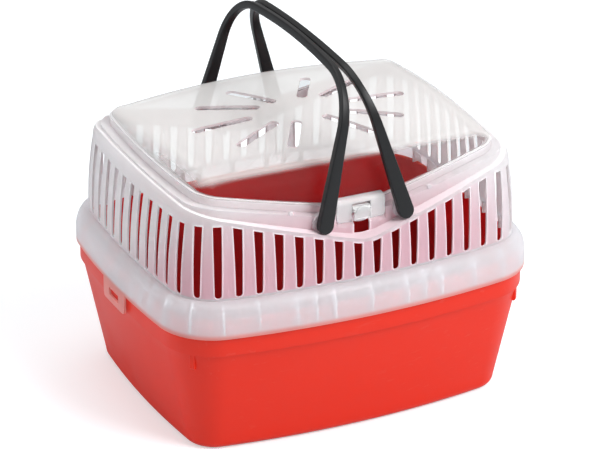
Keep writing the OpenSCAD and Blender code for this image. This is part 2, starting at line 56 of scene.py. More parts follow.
# plan outline: two long arcs, two end arcs and four corners; whole-number triangles set the arcs
CORNER_X, CORNER_Y, CORNER_R = 102.0, 71.2, 44.4
SIDE_TRI = (24.0, 143.0, 145.0)
END_TRI = (40.0, 399.0, 401.0)
SIDE_C = SIDE_TRI[1] * CORNER_X / SIDE_TRI[0] - CORNER_Y
SIDE_R = SIDE_TRI[2] * CORNER_X / SIDE_TRI[0] + CORNER_R
END_C = END_TRI[1] * CORNER_Y / END_TRI[0] - CORNER_X
END_R = END_TRI[2] * CORNER_Y / END_TRI[0] + CORNER_R
SIDE_HALF = math.atan(SIDE_TRI[0] / SIDE_TRI[1])
END_HALF = math.atan(END_TRI[0] / END_TRI[1])
CORNER_SWEEP = math.pi / 2 - SIDE_HALF - END_HALF
HALF_W = SIDE_R - SIDE_C
HALF_L = END_R - END_C

# tub
TUB_H, TUB_WALL = 113.0, 2.2
FOOT_IN, FLARE_IN, FOOT_R = 20.4, 4.5, 7.5
STEP_Z, BAND_IN, RIM_IN = 85.0, 2.7, 4.9
GUSSET_H, GUSSET_T, GUSSET_IN = 12.0, 4.0, 4.2
TUB_STEPS, TUB_SOFT, TUB_SOFT_MID = 480, 0.7, 0.2
LEDGE_EASE_IN, LEDGE_EASE = 0.4, 3.0
LUG_HALF, LUG_DEEP, LUG_OUT, LUG_FOOT, LUG_HEAD = 8.0, 3.0, 2.0, 90.0, 94.0

# cover; its visible skin is thinner than the wall that carries the pins
WALL, COVER_SKIN = 2.0, 1.4
SKIRT_Z, SKIRT_H = 100.0, 10.0
SHOULDER_RISE, SHOULDER_IN = 15.8, 9.6
SHOULDER_Z = SKIRT_Z + SKIRT_H + SHOULDER_RISE
WALL_RISE, WALL_LEAN = 58.2, 4.6
EDGE_Z = SHOULDER_Z + WALL_RISE
EDGE_RISE, EDGE_IN = 9.2, 6.3
COVER_TOP = EDGE_Z + EDGE_RISE
SEAT_IN, MOUTH_IN = 20.5, 30.0
WALL_DIP, WALL_SLOPE = 38.0, 0.28
SEAT_DIP, SEAT_SLOPE = 24.5, 0.21
VEE_ROUND = 9.0

RIB_PITCH, RIB_T = 14.4, 1.2
SIDE_RIBS, END_RIBS, CORNER_RIBS = (0, 2, 3, 4, 6), (0, 2, 3, 4), (0.06, 0.5, 0.94)
CLIP_HALF, CLIP_T, CLIP_FOOT = 19.0, 1.7, SKIRT_Z - 16.0
CLIP_HOLE_HALF, CLIP_HOLE = 8.5, (CLIP_FOOT + 5.0, CLIP_FOOT + 11.0)
CLIP_ROUND, CLIP_TOP = 3.0, SKIRT_Z + 6.0
NUB_X, NUB_DIP, NUB_R, NUB_OUT = 55.0, 11.9, 1.8, 1.0

# slots: a number on each quarter, narrow and round at the foot, wide and slanted at the top
SLOTS_QUARTER = 15
SLOT_FOOT_W, SLOT_TOP_W = 5.0, 7.0
SLOT_FOOT_Z = SHOULDER_Z + 1.6
SLOT_BAR, SLOT_TOP_Z = 3.5, COVER_TOP - 11.7
SLOT_IN = SHOULDER_IN + WALL_LEAN / 3

# lid
LID_IN, LID_GAP, RIM_H, RIM_SOFT = 27.0, 0.3, 6.3, 0.8
DOME_IN, DOME_Z, DOME_RISE = 28.7, COVER_TOP + 3.8, 11.5
CROWN_RISE = 4.5
CROWN_Z = DOME_Z + DOME_RISE + CROWN_RISE
VENT_R = 4.0
VENT_FROM, VENT_TO = (38.0, 19.0), (86.0, 61.0)
HINGE_Y, HINGE_Z = HALF_W - 20.0, COVER_TOP - 17.2
KNUCKLE_X, KNUCKLE_R, HINGE_PIN_R = 12.7, 4.0, 2.2
EAR_T, EAR_R = 5.0, 4.4
SECTORS, RIM_ROWS, CROWN_STEPS = 12, 5, 5
# material numbers on the lid, whose shell has 0 and vent edges 1: rim, the rim's lowest face, hood
RIM_NUMBER, RIM_FOOT_NUMBER, HOOD_NUMBER = 2, 3, 4
SPREAD = np.linspace(0, 1, 8)
VENT_COLUMNS = 2 * len(SPREAD)
END_ANGLES = np.radians(np.linspace(0, 90, 6))

# hood and latch
HOOD_X, HOOD_Y, HOOD_T = 19.0, -HALF_W + 22.0, 1.8
HOOD_FOOT, HOOD_HEAD, HOOD_R = COVER_TOP - 27.2, COVER_TOP - 10.4, 4.0
LATCH_X, LATCH_T, LATCH_Y, LATCH_Z = 7.0, 1.9, -HALF_W + 23.5, COVER_TOP - 18.1
LATCH_BACK = -HALF_W + SEAT_IN - 0.4
LATCH_FOOT, LATCH_HEAD = LATCH_Z - 7.0, LATCH_Z + 3.0
LATCH_BARREL_R, LATCH_PIN_R, LATCH_PIN_OUT, LATCH_ARM, NOTCH_GAP = 2.4, 1.5, 2.3, 1.2, 0.4

# handles
PIVOT_X, PIVOT_Z = 31.9, COVER_TOP - 22.5
TOP_LEFT, TOP_RIGHT = 4.7, 1.1
BAIL_H, BAIL_R, BAIL_BOW = 110.3, 44.0, 3.8
LEG_LEAN = math.radians(6.6)
STRAP_FOOT, STRAP_TOP, STRAP_T, TAPER_H = 11.8, 5.2, 5.8, 94.0
STRAP_SOFT, STRAP_ROUND = 1.1, 6
BOSS_R, BOSS_OUT, BOSS_GAP, PIN_R = 7.5, 2.0, 1.3, 3.0

# lengths of the outline's arcs along the line of the slots, and of a quarter of it
SIDE_RUN = (SIDE_R - SLOT_IN) * SIDE_HALF
CORNER_RUN = (CORNER_R - SLOT_IN) * CORNER_SWEEP
END_RUN = (END_R - SLOT_IN) * END_HALF
QUARTER = SIDE_RUN + CORNER_RUN + END_RUN

# columns of points to a slot and its bar, and the width of the paler lip beside a slot, which paints a
# highlight
COLUMNS = 6
PITCH = QUARTER / SLOTS_QUARTER
LIP = 0.9
# material numbers on the cover, whose wall has 0: paler lips and edges with a painted highlight, skirt,
# band
EDGE_NUMBER, SKIRT_NUMBER, BAND_NUMBER = 1, 2, 3
# rows of the ledge, the band and the seat, as shares of each; the latch window lies between
# two rows of the band, and the hood's pocket ends over a short slope
LEDGE_SHARES, SEAT_SHARES = (0.12, 0.5, 0.88, 1.0), (0.1, 0.5, 1.0)
BAND_ROWS = (0.065, 0.3, 0.55, 0.77, 0.94, 1.0)
WINDOW_X, WINDOW_LIP, WINDOW_CELLS = 6.3, 1.2, (1, 4)
POCKET_X, POCKET_Z, POCKET_IN, POCKET_SLOPE = 19.8, COVER_TOP - 28.0, 3.6, 0.4
SETTLED = (0, 3, 4, 7, 8, 11)

# softened rim of a prism in millimetres, the angle above which an edge stays sharp, and in metres
# the distance at which points are merged and the length under which an edge is dissolved
PRISM_SOFT, SHARP = 0.3, 32.0
MERGE, TINY = 2e-6, 1e-6

# looks
# painted shade: the tub's inner wall darkens to this red below these heights, in metres
PAINTED_SHADE_Z, PAINTED_SHADE_RED = (0.068, 0.088), (0.5, 0.016, 0.018)
# painted glow where the red tub shines through the frosted plastic, in metres: the heights over which the
# glow comes and goes on the wall, its fade to the ends and to the back, and the glowing line at the
# skirt's foot
GLOW_COMES, GLOW_GOES = (0.122, 0.13), (0.178, 0.196)
GLOW_ENDS, GLOW_AT_END = (0.07, 0.135), 0.15
GLOW_BACK, BACK_FROM_Z, BACK_TILT = (-0.09, 0.02), 0.13, 1.6
FOOT_LINE = (0.1004, 0.1044)
PAINTED_RED_GLOW, PAINTED_FOOT_GLOW = (0.96, 0.5, 0.62), (0.95, 0.36, 0.30)
# share of the painted red glow on the slotted wall and on the band above it; height of a bump, in metres
WALL_GLOW, BAND_GLOW = 0.6, 0.22
BUMP_HEIGHT = 0.0002

# stage, in metres and degrees
FLOOR_HALF, FLOOR_TONE = 6.0, (0.7, 0.74, 0.77, 1)
# the floor's own glow to the camera, the level of the sky as light, and how much darker the sky
# reads behind clear plastic, with the floor's share of that
FLOOR_GLOW, SKY_LIGHT, BEHIND, FLOOR_BEHIND = 0.46, 0.45, 0.26, 1.6
SKY_SIDES, SKY_LEFT, SKY_RIGHT = 0.9, 0.6, 1.3
AZIMUTH, ELEVATION, ROLL = -25.81, 25.13, 0.26
FOCAL_PIXELS, FRAME_WIDTH, SENSOR = 3287.9, 600.0, 36.0
EYE = (-0.9637, -1.9948, 1.1582)


# ---- plan outline and heights ----
def plan(run, inset):
    """Points of the outline moved inwards by an inset, at a run along the line of the slots,
    clockwise from the middle of the back: on each quarter the point is the arc's centre plus
    (radius - inset) times the unit vector of its angle, and the other quarters mirror the first."""
    run, inset = np.broadcast_arrays(np.asarray(run, float), np.asarray(inset, float))
    turn, s = np.divmod(run, QUARTER)
    turn = turn.astype(int) % 4
    s = np.where(turn % 2 == 1, QUARTER - s, s)
    zone = (s >= SIDE_RUN).astype(int) + (s >= SIDE_RUN + CORNER_RUN)
    radius = np.choose(zone, [SIDE_R, CORNER_R, END_R])
    start = np.choose(zone, [0, SIDE_RUN, SIDE_RUN + CORNER_RUN])
    first = np.choose(zone, [math.pi / 2, math.pi / 2 - SIDE_HALF, END_HALF])
    cx = np.choose(zone, [0, CORNER_X, -END_C])
    cy = np.choose(zone, [-SIDE_C, CORNER_Y, 0])
    angle = first - (s - start) / (radius - SLOT_IN)
    reach = radius - inset
    x = (cx + reach * np.cos(angle)) * np.where(turn >= 2, -1, 1)
    y = (cy + reach * np.sin(angle)) * np.where((turn == 1) | (turn == 2), -1, 1)
    return x, y


def vee(x, dip, slope):
    """Height of a V shaped edge: cover top minus dip plus slope times |x|, with the point of the
    V rounded by a parabola, and never above the cover's top."""
    far = np.abs(x)
    f = np.where(far < VEE_ROUND, VEE_ROUND / 2 + x * x / (2 * VEE_ROUND), far)
    return np.minimum(COVER_TOP - dip + slope * f, COVER_TOP)


def wall_vee(x):
    """Height of the wall's upper edge at x."""
    return vee(x, WALL_DIP, WALL_SLOPE)


def seat_vee(x):
    """Height of the lid's seat at x."""
    return vee(x, SEAT_DIP, SEAT_SLOPE)


def wall_point(p):
    """Inset and height of the cover's wall: p from 0 to 1 climbs the leaning wall, whose inset
    grows with the square of p, and p from 1 to 2 follows a quarter ellipse over the top edge."""
    low = np.clip(p, 0, 1)
    turn = np.clip(p - 1, 0, 1) * math.pi / 2
    inset = SHOULDER_IN + WALL_LEAN * low**2 + EDGE_IN * (1 - np.cos(turn))
    return inset, SHOULDER_Z + WALL_RISE * low + EDGE_RISE * np.sin(turn)


def wall_share(z):
    """The p of wall_point at which the wall reaches a height."""
    low = np.clip((z - SHOULDER_Z) / WALL_RISE, 0, 1)
    high = np.clip((z - EDGE_Z) / EDGE_RISE, 0, 1)
    return low + np.arcsin(high) / (math.pi / 2)


# ---- meshes ----


def quads(index):
    """Quads between neighbouring rows and columns of a grid of vertex numbers."""
    return np.stack([index[:-1, :-1], index[:-1, 1:], index[1:, 1:], index[1:, :-1]], -1)


def plan_row(run, inset, z):
    """Points on the outline at an inset, at one height or at a height per point."""
    x, y = plan(run, inset)
    return np.stack(np.broadcast_arrays(x, y, z), -1)


def outward(points, faces):
    """Faces turned so that the closed surface holds a positive volume."""
    a = points[faces[:, 0]]
    volume = 0.0
    for k in range(1, faces.shape[1] - 1):
        volume += np.sum(np.cross(points[faces[:, k]], points[faces[:, k + 1]]) * a)
    return faces if volume > 0 else faces[:, ::-1]


def tube(rings, caps=False):
    """Closed surface of rings of points, each joined to the next, with rows as rings; caps
    gather each end ring in its own middle."""
    rings = np.asarray(rings, float)
    if caps:
        ends = [np.repeat(rings[k].mean(0)[None], rings.shape[1], 0)[None] for k in (0, -1)]
        rings = np.concatenate([ends[0], rings, ends[1]])
    rows, cols = rings.shape[:2]
    index = np.arange(rows * cols).reshape(rows, cols)
    index = np.concatenate([index, index[:, :1]], 1)
    points = rings.reshape(-1, 3)
    return points, outward(points, quads(index).reshape(-1, 4)), None


def thick(outer, inner, keep, wrap=True, trim=None):
    """Two skins on the same grid, joined by a rim wherever a kept cell has no kept neighbour.
    Rim faces carry material number 1, and trim gives the number of each cell's own faces."""
    rows, cols = outer.shape[:2]
    index = np.arange(rows * cols).reshape(rows, cols)
    if wrap:
        index = np.concatenate([index, index[:, :1]], 1)
    skin = quads(index)[keep]
    edges = np.stack([skin, np.roll(skin, -1, 1)], -1).reshape(-1, 2)
    count = rows * cols
    key = edges.min(1) * count + edges.max(1)
    _, where, times = np.unique(key, return_inverse=True, return_counts=True)
    rim = edges[times[where] == 1]
    rims = np.stack([rim[:, 1], rim[:, 0], rim[:, 0] + count, rim[:, 1] + count], -1)
    points = np.concatenate([outer.reshape(-1, 3), inner.reshape(-1, 3)])
    faces = np.concatenate([skin, skin[:, ::-1] + count, rims])
    own = np.zeros(len(skin), int) if trim is None else trim[keep]
    slot = np.concatenate([own, own, np.ones(len(rims), int)])
    return points, outward(points, faces), slot


def numbered(parts, number):
    """The same parts, with one material number on all their faces."""
    return [(points, faces, np.full(len(faces), number)) for points, faces, _ in parts]


def prism(outline, depth, place):
    """Polygon of [u, v] points carried along w from depth[0] to depth[1], with rounded rims;
    place turns u, v, w into x, y, z."""
    flat = np.asarray(outline, float)
    middle = flat.mean(0)
    soft = min(PRISM_SOFT, (depth[1] - depth[0]) / 4)
    span = np.abs(flat - middle).max(0)
    small = 1 - soft / span
    rings = []
    for scale, w in ((small, depth[0]), (1, depth[0] + soft), (1, depth[1] - soft), (small, depth[1])):
        ring = middle + (flat - middle) * scale
        rings.append(place(ring[:, 0], ring[:, 1], np.full(len(ring), w)))
    return tube(np.stack(rings), caps=True)


def along_x(side=1):
    """Place of a prism whose depth runs along x, to one side, and whose outline is [y, z]."""
    return lambda u, v, w: np.stack([side * w, u, v], -1)


def turned(profile, start, axis, steps=48):
    """Profile of [distance along the axis, radius] turned about a level axis through start."""
    axis = np.asarray(axis, float)
    side = np.cross(axis, [0, 0, 1.0])
    side /= np.linalg.norm(side)
    other = np.cross(axis, side)
    a = np.linspace(0, 2 * math.pi, steps, endpoint=False)
    round_ = np.cos(a)[:, None] * side + np.sin(a)[:, None] * other
    line = np.asarray(profile, float)
    rings = np.asarray(start) + line[:, :1, None] * axis + line[:, 1:, None] * round_[None]
    return tube(rings, caps=True)


def bar(start, end, r, soft=0.4):
    """Round bar with softened ends."""
    start, end = np.asarray(start, float), np.asarray(end, float)
    length = np.linalg.norm(end - start)
    line = [[0, r - soft], [soft, r], [length - soft, r], [length, r - soft]]
    return turned(line, start, (end - start) / length)


def arc(n, first=0.0, last=90.0):
    """Cosines and sines of n + 1 even angles, in degrees."""
    a = np.radians(np.linspace(first, last, n + 1))
    return np.cos(a), np.sin(a)


def placed(name, data):
    """A new object in the scene."""
    thing = bpy.data.objects.new(name, data)
    bpy.context.scene.collection.objects.link(thing)
    return thing


def make(name, parts, materials, body, nodes):
    """One object of several closed surfaces, merged, smooth up to a sharp angle."""
    points, faces, slots, start = [], [], [], 0
    for part, cells, kind in parts:
        points.append(part)
        faces.append(cells + start)
        slots.append(np.zeros(len(cells), int) if kind is None else kind)
        start += len(part)
    mesh = bpy.data.meshes.new(name)
    mesh.from_pydata(np.concatenate(points) * MM, [], np.concatenate(faces))
    mesh.polygons.foreach_set("material_index", np.concatenate(slots).astype(np.int32))
    bm = bmesh.new()
    bm.from_mesh(mesh)
    bmesh.ops.remove_doubles(bm, verts=bm.verts, dist=MERGE)
    bmesh.ops.dissolve_degenerate(bm, edges=bm.edges, dist=TINY)
    bmesh.ops.delete(bm, geom=[e for e in bm.edges if not e.link_faces], context="EDGES")
    bmesh.ops.delete(bm, geom=[v for v in bm.verts if not v.link_faces], context="VERTS")
    bm.to_mesh(mesh)
    bm.free()
    mesh.shade_smooth()
    mesh.set_sharp_from_angle(angle=math.radians(SHARP))
    for material in materials:
        mesh.materials.append(material)
    piece = placed(name, mesh)
    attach(piece, body)
    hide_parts(*nodes)


# ---- tub ----
def tub_parts():
    """A profile of inset and height carried round the outline: foot, flaring wall, step, band
    and rim outside, then down the inside, which has material number 1; the two floors shrink to
    the middle."""
    run = np.linspace(0, 4 * QUARTER, TUB_STEPS, endpoint=False)
    c, s = arc(10)
    foot = [(FOOT_IN + FOOT_R * (1 - b), FOOT_R * (1 - a)) for a, b in zip(c, s)]
    rise = np.linspace(0, 1, 9)[1:-1]
    flare = [(FOOT_IN + (FLARE_IN - FOOT_IN) * t, FOOT_R + (STEP_Z - FOOT_R) * t) for t in rise]
    r = TUB_SOFT
    step = [(FLARE_IN, STEP_Z - r), (FLARE_IN - TUB_SOFT_MID, STEP_Z - TUB_SOFT_MID),
            (BAND_IN + r, STEP_Z),
            (BAND_IN + TUB_SOFT_MID, STEP_Z + TUB_SOFT_MID), (BAND_IN, STEP_Z + r)]
    band = [(BAND_IN, SKIRT_Z - r), (BAND_IN + r, SKIRT_Z), (RIM_IN, SKIRT_Z), (RIM_IN, SKIRT_Z + r),
            (RIM_IN, TUB_H - r), (RIM_IN + TUB_SOFT_MID, TUB_H - TUB_SOFT_MID), (RIM_IN + r, TUB_H),
            (RIM_IN + TUB_WALL - r, TUB_H), (RIM_IN + TUB_WALL, TUB_H - r)]
    inner_in = RIM_IN + TUB_WALL
    low = FOOT_IN + TUB_WALL
    drop = [(inner_in, STEP_Z), (inner_in + LEDGE_EASE_IN, STEP_Z - LEDGE_EASE)]
    down = [(low + (inner_in - low) * t, FOOT_R + (STEP_Z - FOOT_R) * t) for t in rise[::-1]]
    bowl = [(low + FOOT_R * (1 - b), TUB_WALL + FOOT_R * (1 - a)) for a, b in zip(c[::-1], s[::-1])]
    line = np.array(foot + flare + step + band + drop + down + bowl)
    rings = plan_row(run, line[:, :1], line[:, 1:])
    shrink = np.linspace(0, 1, 8)[:-1, None, None]
    under = rings[0] * np.where(np.arange(3) < 2, shrink, 1)
    inside = rings[-1] * np.where(np.arange(3) < 2, shrink[::-1], 1)
    points, faces, _ = tube(np.concatenate([under, rings, inside]))
    first_in = len(under) + len(foot + flare + step + band) - 1
    row = np.arange(len(faces)) // len(run)
    return [(points, faces, (row >= first_in).astype(int))]


def gussets():
    """Small upright webs under the step at the four corners, set on the corner's bisector."""
    parts = []
    middle = END_HALF + CORNER_SWEEP / 2
    out = CORNER_R - GUSSET_IN
    back = CORNER_R - FLARE_IN - (FOOT_IN - FLARE_IN) * (GUSSET_H + 2) / (STEP_Z - FOOT_R) - 1
    outline = [(back, STEP_Z - GUSSET_H), (out - 1, STEP_Z - GUSSET_H), (out, STEP_Z - GUSSET_H + 1),
               (out, STEP_Z + 0.5), (back, STEP_Z + 0.5)]
    for sx in (1, -1):
        for sy in (1, -1):
            def place(u, v, w):
                """From the web's own plane to one corner's bisector."""
                x = CORNER_X + u * math.cos(middle) - w * math.sin(middle)
                y = CORNER_Y + u * math.sin(middle) + w * math.cos(middle)
                return np.stack([sx * x, sy * y, v], -1)
            parts.append(prism(outline, (-GUSSET_T / 2, GUSSET_T / 2), place))
    return parts


def clip_lugs():
    """Small blocks on the tub's ends, facing the holes of the clip tabs."""
    out = HALF_L - LUG_OUT
    outline = [(out - LUG_DEEP, LUG_FOOT), (out - 0.6, LUG_FOOT), (out, LUG_FOOT + 0.6),
               (out, LUG_HEAD - 0.4), (out - 0.4, LUG_HEAD), (out - LUG_DEEP, LUG_HEAD)]
    return [prism(outline, (-LUG_HALF, LUG_HALF), lambda u, v, w, s=s: np.stack([s * u, w, v], -1))
            for s in (1, -1)]


# ---- cover ----


def slot_columns(width, lip=LIP):
    """Runs of the columns for a slot width: each slot's two edges with its middle between them,
    then the bar's two lips with its middle between them."""
    centre = (np.arange(4 * SLOTS_QUARTER) + 0.5) * PITCH
    half = width / 2
    steps = [-half, 0, half, half + lip, PITCH / 2, PITCH - half - lip]
    return (centre[:, None] + steps).ravel()


def cover_skin(t):
    """The cover's skin at depth t under its outer face: skirt, shoulder, slotted wall, ledge,
    band and seat, as rows of points. Also the rows between which the slots are open, and the
    last row of the ledge."""
    c, s = arc(10)
    narrow, wide = slot_columns(SLOT_FOOT_W), slot_columns(SLOT_TOP_W)
    skirt = [(t, SKIRT_Z), (t, SKIRT_Z + SKIRT_H / 2)]
    shoulder = [(t + SHOULDER_IN * (1 - a), SKIRT_Z + SKIRT_H - t + SHOULDER_RISE * b)
                for a, b in zip(c, s)]
    rows = [plan_row(narrow, inset, z) for inset, z in skirt + shoulder]
    # slots: a half round foot, then straight edges that spread up to the slanted top
    first = len(rows)
    r = SLOT_FOOT_W / 2
    for a in np.radians(np.linspace(0, 90, 6)):
        rows.append(wall_row(SLOT_FOOT_Z + r * (1 - math.cos(a)), 2 * r * math.sin(a), t))
    top_x, _ = plan(wide, SLOT_IN + 2)
    top_z = np.minimum(wall_vee(top_x) - SLOT_BAR, SLOT_TOP_Z)
    for k in np.linspace(0, 1, 10)[1:]:
        z = SLOT_FOOT_Z + r + (top_z - SLOT_FOOT_Z - r) * k
        rows.append(wall_row(z, SLOT_FOOT_W + (SLOT_TOP_W - SLOT_FOOT_W) * k, t))
    last = len(rows) - 1
    rows.append(wall_row(rows[-1][:, 2] + LIP, SLOT_TOP_W, t))
    # above the slots the columns spread evenly; a row's height depends on x, which depends on
    # the row's inset, so each row settles in four rounds
    even = settle(slot_columns(PITCH / 3, PITCH / 6))
    from_p = wall_share(rows[-1][:, 2] + t)
    for k in np.linspace(0, 1, 7)[1:]:
        run = wide + (even - wide) * min(1.0, 1.5 * k)
        inset = np.full_like(run, SLOT_IN + 3)
        for _ in range(4):
            x, _y = plan(run, inset + t)
            p = from_p + (wall_share(wall_vee(x)) - from_p) * k
            inset, z = wall_point(p)
        rows.append(plan_row(run, inset + t, z - t))
    edge, band_in = inset + t, SEAT_IN + t
    for k in LEDGE_SHARES:
        x, y = plan(even, edge + (np.maximum(band_in, edge) - edge) * k)
        rows.append(np.stack([x, y, wall_vee(x) - t], -1))
    ledge = len(rows) - 1
    x, y = plan(even, band_in)
    low, high = wall_vee(x) - t, seat_vee(x) - t
    for k in BAND_ROWS:
        z = low + (high - low) * k
        x, y = plan(even, band_in + pocket(x, y, z))
        rows.append(np.stack([x, y, z], -1))
    inset = band_in + pocket(x, y, z)
    for k in SEAT_SHARES:
        x, y = plan(even, inset + (MOUTH_IN - inset) * k)
        rows.append(np.stack([x, y, seat_vee(x) - t], -1))
    return np.stack(rows), (first, last), ledge


def settle(run):
    """Evenly spaced runs, moved near the middle of the front so that columns fall on the edges
    of the latch window and of the hood's pocket: a piecewise linear map of the distance. The
    columns numbered in SETTLED take the places listed below."""
    step = PITCH / COLUMNS
    far = run - 2 * QUARTER
    knots = np.array(SETTLED) * step
    places = np.array([0, WINDOW_X, WINDOW_X + WINDOW_LIP, POCKET_X + POCKET_SLOPE - 1,
                       POCKET_X + POCKET_SLOPE, knots[-1]])
    moved = np.sign(far) * np.interp(np.abs(far), knots, places)
    return np.where(np.abs(far) < knots[-1], 2 * QUARTER + moved, run)


def pocket(x, y, z):
    """How far the band is sunk behind the hood: full inside a box at the middle of the front,
    falling to nothing over a short slope."""
    across = np.clip(POCKET_X + POCKET_SLOPE - np.abs(x), 0, 1)
    above = np.clip(z - POCKET_Z, 0, 1)
    return np.where(y < 0, POCKET_IN * across * above, 0.0)


def wall_row(z, width, t):
    """A row of the slotted wall for a slot width, at one height or at a height per column."""
    inset, _ = wall_point(wall_share(z + t))
    return plan_row(slot_columns(width), inset + t, z)


def cover_parts():
    """Outer and inner skins of the cover with the slots and the latch window left out."""
    outer, (first, last), ledge = cover_skin(0.0)
    inner, _, _ = cover_skin(COVER_SKIN)
    rows, cols = outer.shape[:2]
    keep = np.ones((rows - 1, cols), bool)
    column = np.arange(cols) % COLUMNS
    keep[first:last] = column >= 2
    across = (outer[ledge, :, 0] + np.roll(outer[ledge, :, 0], -1)) / 2
    window = (np.abs(across) < WINDOW_X) & (outer[ledge, :, 1] < 0)
    keep[ledge + WINDOW_CELLS[0]:ledge + WINDOW_CELLS[1]] &= ~window
    # paler lips, a painted highlight along the edges, run beside and above each slot, along the ledge, and
    # round the window
    trim = np.zeros_like(keep, dtype=int)
    trim[:first] = SKIRT_NUMBER
    trim[first:last, (column == 2) | (column == 5)] = EDGE_NUMBER
    trim[last, (column != 3) & (column != 4)] = EDGE_NUMBER
    trim[last + 1:ledge - len(LEDGE_SHARES)] = BAND_NUMBER
    trim[ledge - len(LEDGE_SHARES):ledge] = EDGE_NUMBER
    lip = (np.abs(across) < WINDOW_X + WINDOW_LIP) & (outer[ledge, :, 1] < 0)
    trim[ledge:ledge + WINDOW_CELLS[1], lip] = EDGE_NUMBER
    return [thick(outer, inner, keep, trim=trim)]


def skirt_ribs():
    """Thin webs inside the skirt: a closed section of inset and height, given the rib's thickness
    along the run. Ribs stand in groups on the sides and ends, and three to a corner."""
    mid = SHOULDER_IN / 2
    side = [n * RIB_PITCH * (SIDE_R - SLOT_IN) / (SIDE_R - mid) for n in SIDE_RIBS]
    corner = [SIDE_RUN + (1 - f) * CORNER_RUN for f in CORNER_RIBS]
    end = [QUARTER - n * RIB_PITCH * (END_R - SLOT_IN) / (END_R - mid) for n in END_RIBS]
    runs = []
    for q in range(4):
        for s in side + corner + end:
            at = s if q % 2 == 0 else QUARTER - s
            runs.append((q * QUARTER + at) % (4 * QUARTER))
    runs = sorted(set(np.round(runs, 3)))
    c, s = arc(8)
    skin = WALL / 2
    inset = skin + SHOULDER_IN * (1 - c)
    z = SKIRT_Z + SKIRT_H - skin + SHOULDER_RISE * s
    near = inset < SHOULDER_IN
    line = [(skin, SKIRT_Z + 2)] + list(zip(inset[near], z[near])) + [
        (SHOULDER_IN, SHOULDER_Z - WALL), (SHOULDER_IN, TUB_H), (RIM_IN - 0.5, TUB_H),
        (RIM_IN - 0.5, SKIRT_Z + 2)]
    line = np.array(line)
    parts = []
    for run in runs:
        rings = [plan_row(run + w, line[:, 0], line[:, 1]) for w in (-RIB_T / 2, RIB_T / 2)]
        parts.append(tube(np.stack(rings), caps=True))
    return parts


def clip_tabs():
    """Curved plates that follow the skirt's end face, with rounded lower corners and a hole."""
    y = np.array([-CLIP_HALF, -CLIP_HALF + 1, -CLIP_HALF + CLIP_ROUND, -CLIP_HOLE_HALF,
                  -CLIP_HOLE_HALF + 1, 0.0])
    y = np.concatenate([y, -y[-2::-1]])
    z = np.array([CLIP_FOOT, CLIP_FOOT + 1, CLIP_FOOT + CLIP_ROUND, *CLIP_HOLE, SKIRT_Z, CLIP_TOP])
    lift = np.clip(np.abs(y) - (CLIP_HALF - CLIP_ROUND), 0, CLIP_ROUND)
    lift = CLIP_ROUND - np.sqrt(CLIP_ROUND**2 - lift**2)
    fade = np.clip((CLIP_HOLE[0] - z[:, None]) / (CLIP_HOLE[0] - CLIP_FOOT), 0, 1)
    zz = z[:, None] + lift[None] * fade
    yy = np.broadcast_to(y, zz.shape)
    keep = np.ones((len(z) - 1, len(y) - 1), bool)
    keep[3, np.abs((y[1:] + y[:-1]) / 2) < CLIP_HOLE_HALF] = False
    parts = []
    for s in (1, -1):
        skins = []
        for t in (0.0, CLIP_T):
            x = np.sqrt((END_R - t) ** 2 - yy**2) - END_C
            skins.append(np.stack([s * x, yy, zz], -1))
        parts.append(thick(skins[0], skins[1], keep, wrap=False))
    return parts


def side_y(x, inset):
    """Distance of the long side from the middle: the height of its arc, moved in, at x."""
    return math.sqrt((SIDE_R - inset) ** 2 - x * x) - SIDE_C


def bosses():
    """Round bosses on the band, front and back, that carry the handle pins."""
    face = side_y(PIVOT_X, SEAT_IN) + BOSS_OUT
    parts = []
    for x in (-PIVOT_X, PIVOT_X):
        for s in (-1, 1):
            line = [[0, BOSS_R], [BOSS_OUT + WALL - 0.8, BOSS_R], [BOSS_OUT + WALL - 0.2, BOSS_R - 0.2],
                    [BOSS_OUT + WALL, BOSS_R - 0.8], [BOSS_OUT + WALL, PIN_R + 1]]
            start = [x, s * (face - BOSS_OUT - WALL), PIVOT_Z]
            parts.append(turned(line, start, [0, s, 0]))
    return parts


def nubs():
    """Two small round studs on the front of the band, outside the handles' pins."""
    parts = []
    for x in (-NUB_X, NUB_X):
        face = -side_y(x, SEAT_IN)
        line = [[0, NUB_R], [NUB_OUT + 0.5, NUB_R], [NUB_OUT + 0.9, NUB_R - 0.4], [NUB_OUT + 1, 0.4]]
        parts.append(turned(line, [x, face + 1, COVER_TOP - NUB_DIP], [0, -1, 0], 20))
    return parts


def hinge_ears():
    """Two upright ears at the back, round at the top, that hold the lid's hinge pins."""
    foot = float(wall_vee(np.float64(0))) - WALL / 2
    c, s = arc(12, 0, 180)
    outline = [(HINGE_Y + EAR_R * a, HINGE_Z + EAR_R * b) for a, b in zip(c, s)]
    outline += [(HINGE_Y - EAR_R, foot), (HINGE_Y + EAR_R, foot)]
    start = KNUCKLE_X + LID_GAP
    return [prism(outline, (start, start + EAR_T), along_x(side)) for side in (1, -1)]


# ---- lid ----
def crown_height(x, y):
    """Height of the crown: a shallow bowl turned over, falling with the squares of x and y."""
    along = (HALF_L - CORNER_R) ** 2
    across = (HALF_W - CORNER_R) ** 2
    return CROWN_Z - CROWN_RISE * (x * x / along + y * y / across)


def oval(size, a):
    """Distance from the middle to an oval of two half lengths, in the direction a."""
    return 1 / np.sqrt((np.cos(a) / size[0]) ** 2 + (np.sin(a) / size[1]) ** 2)


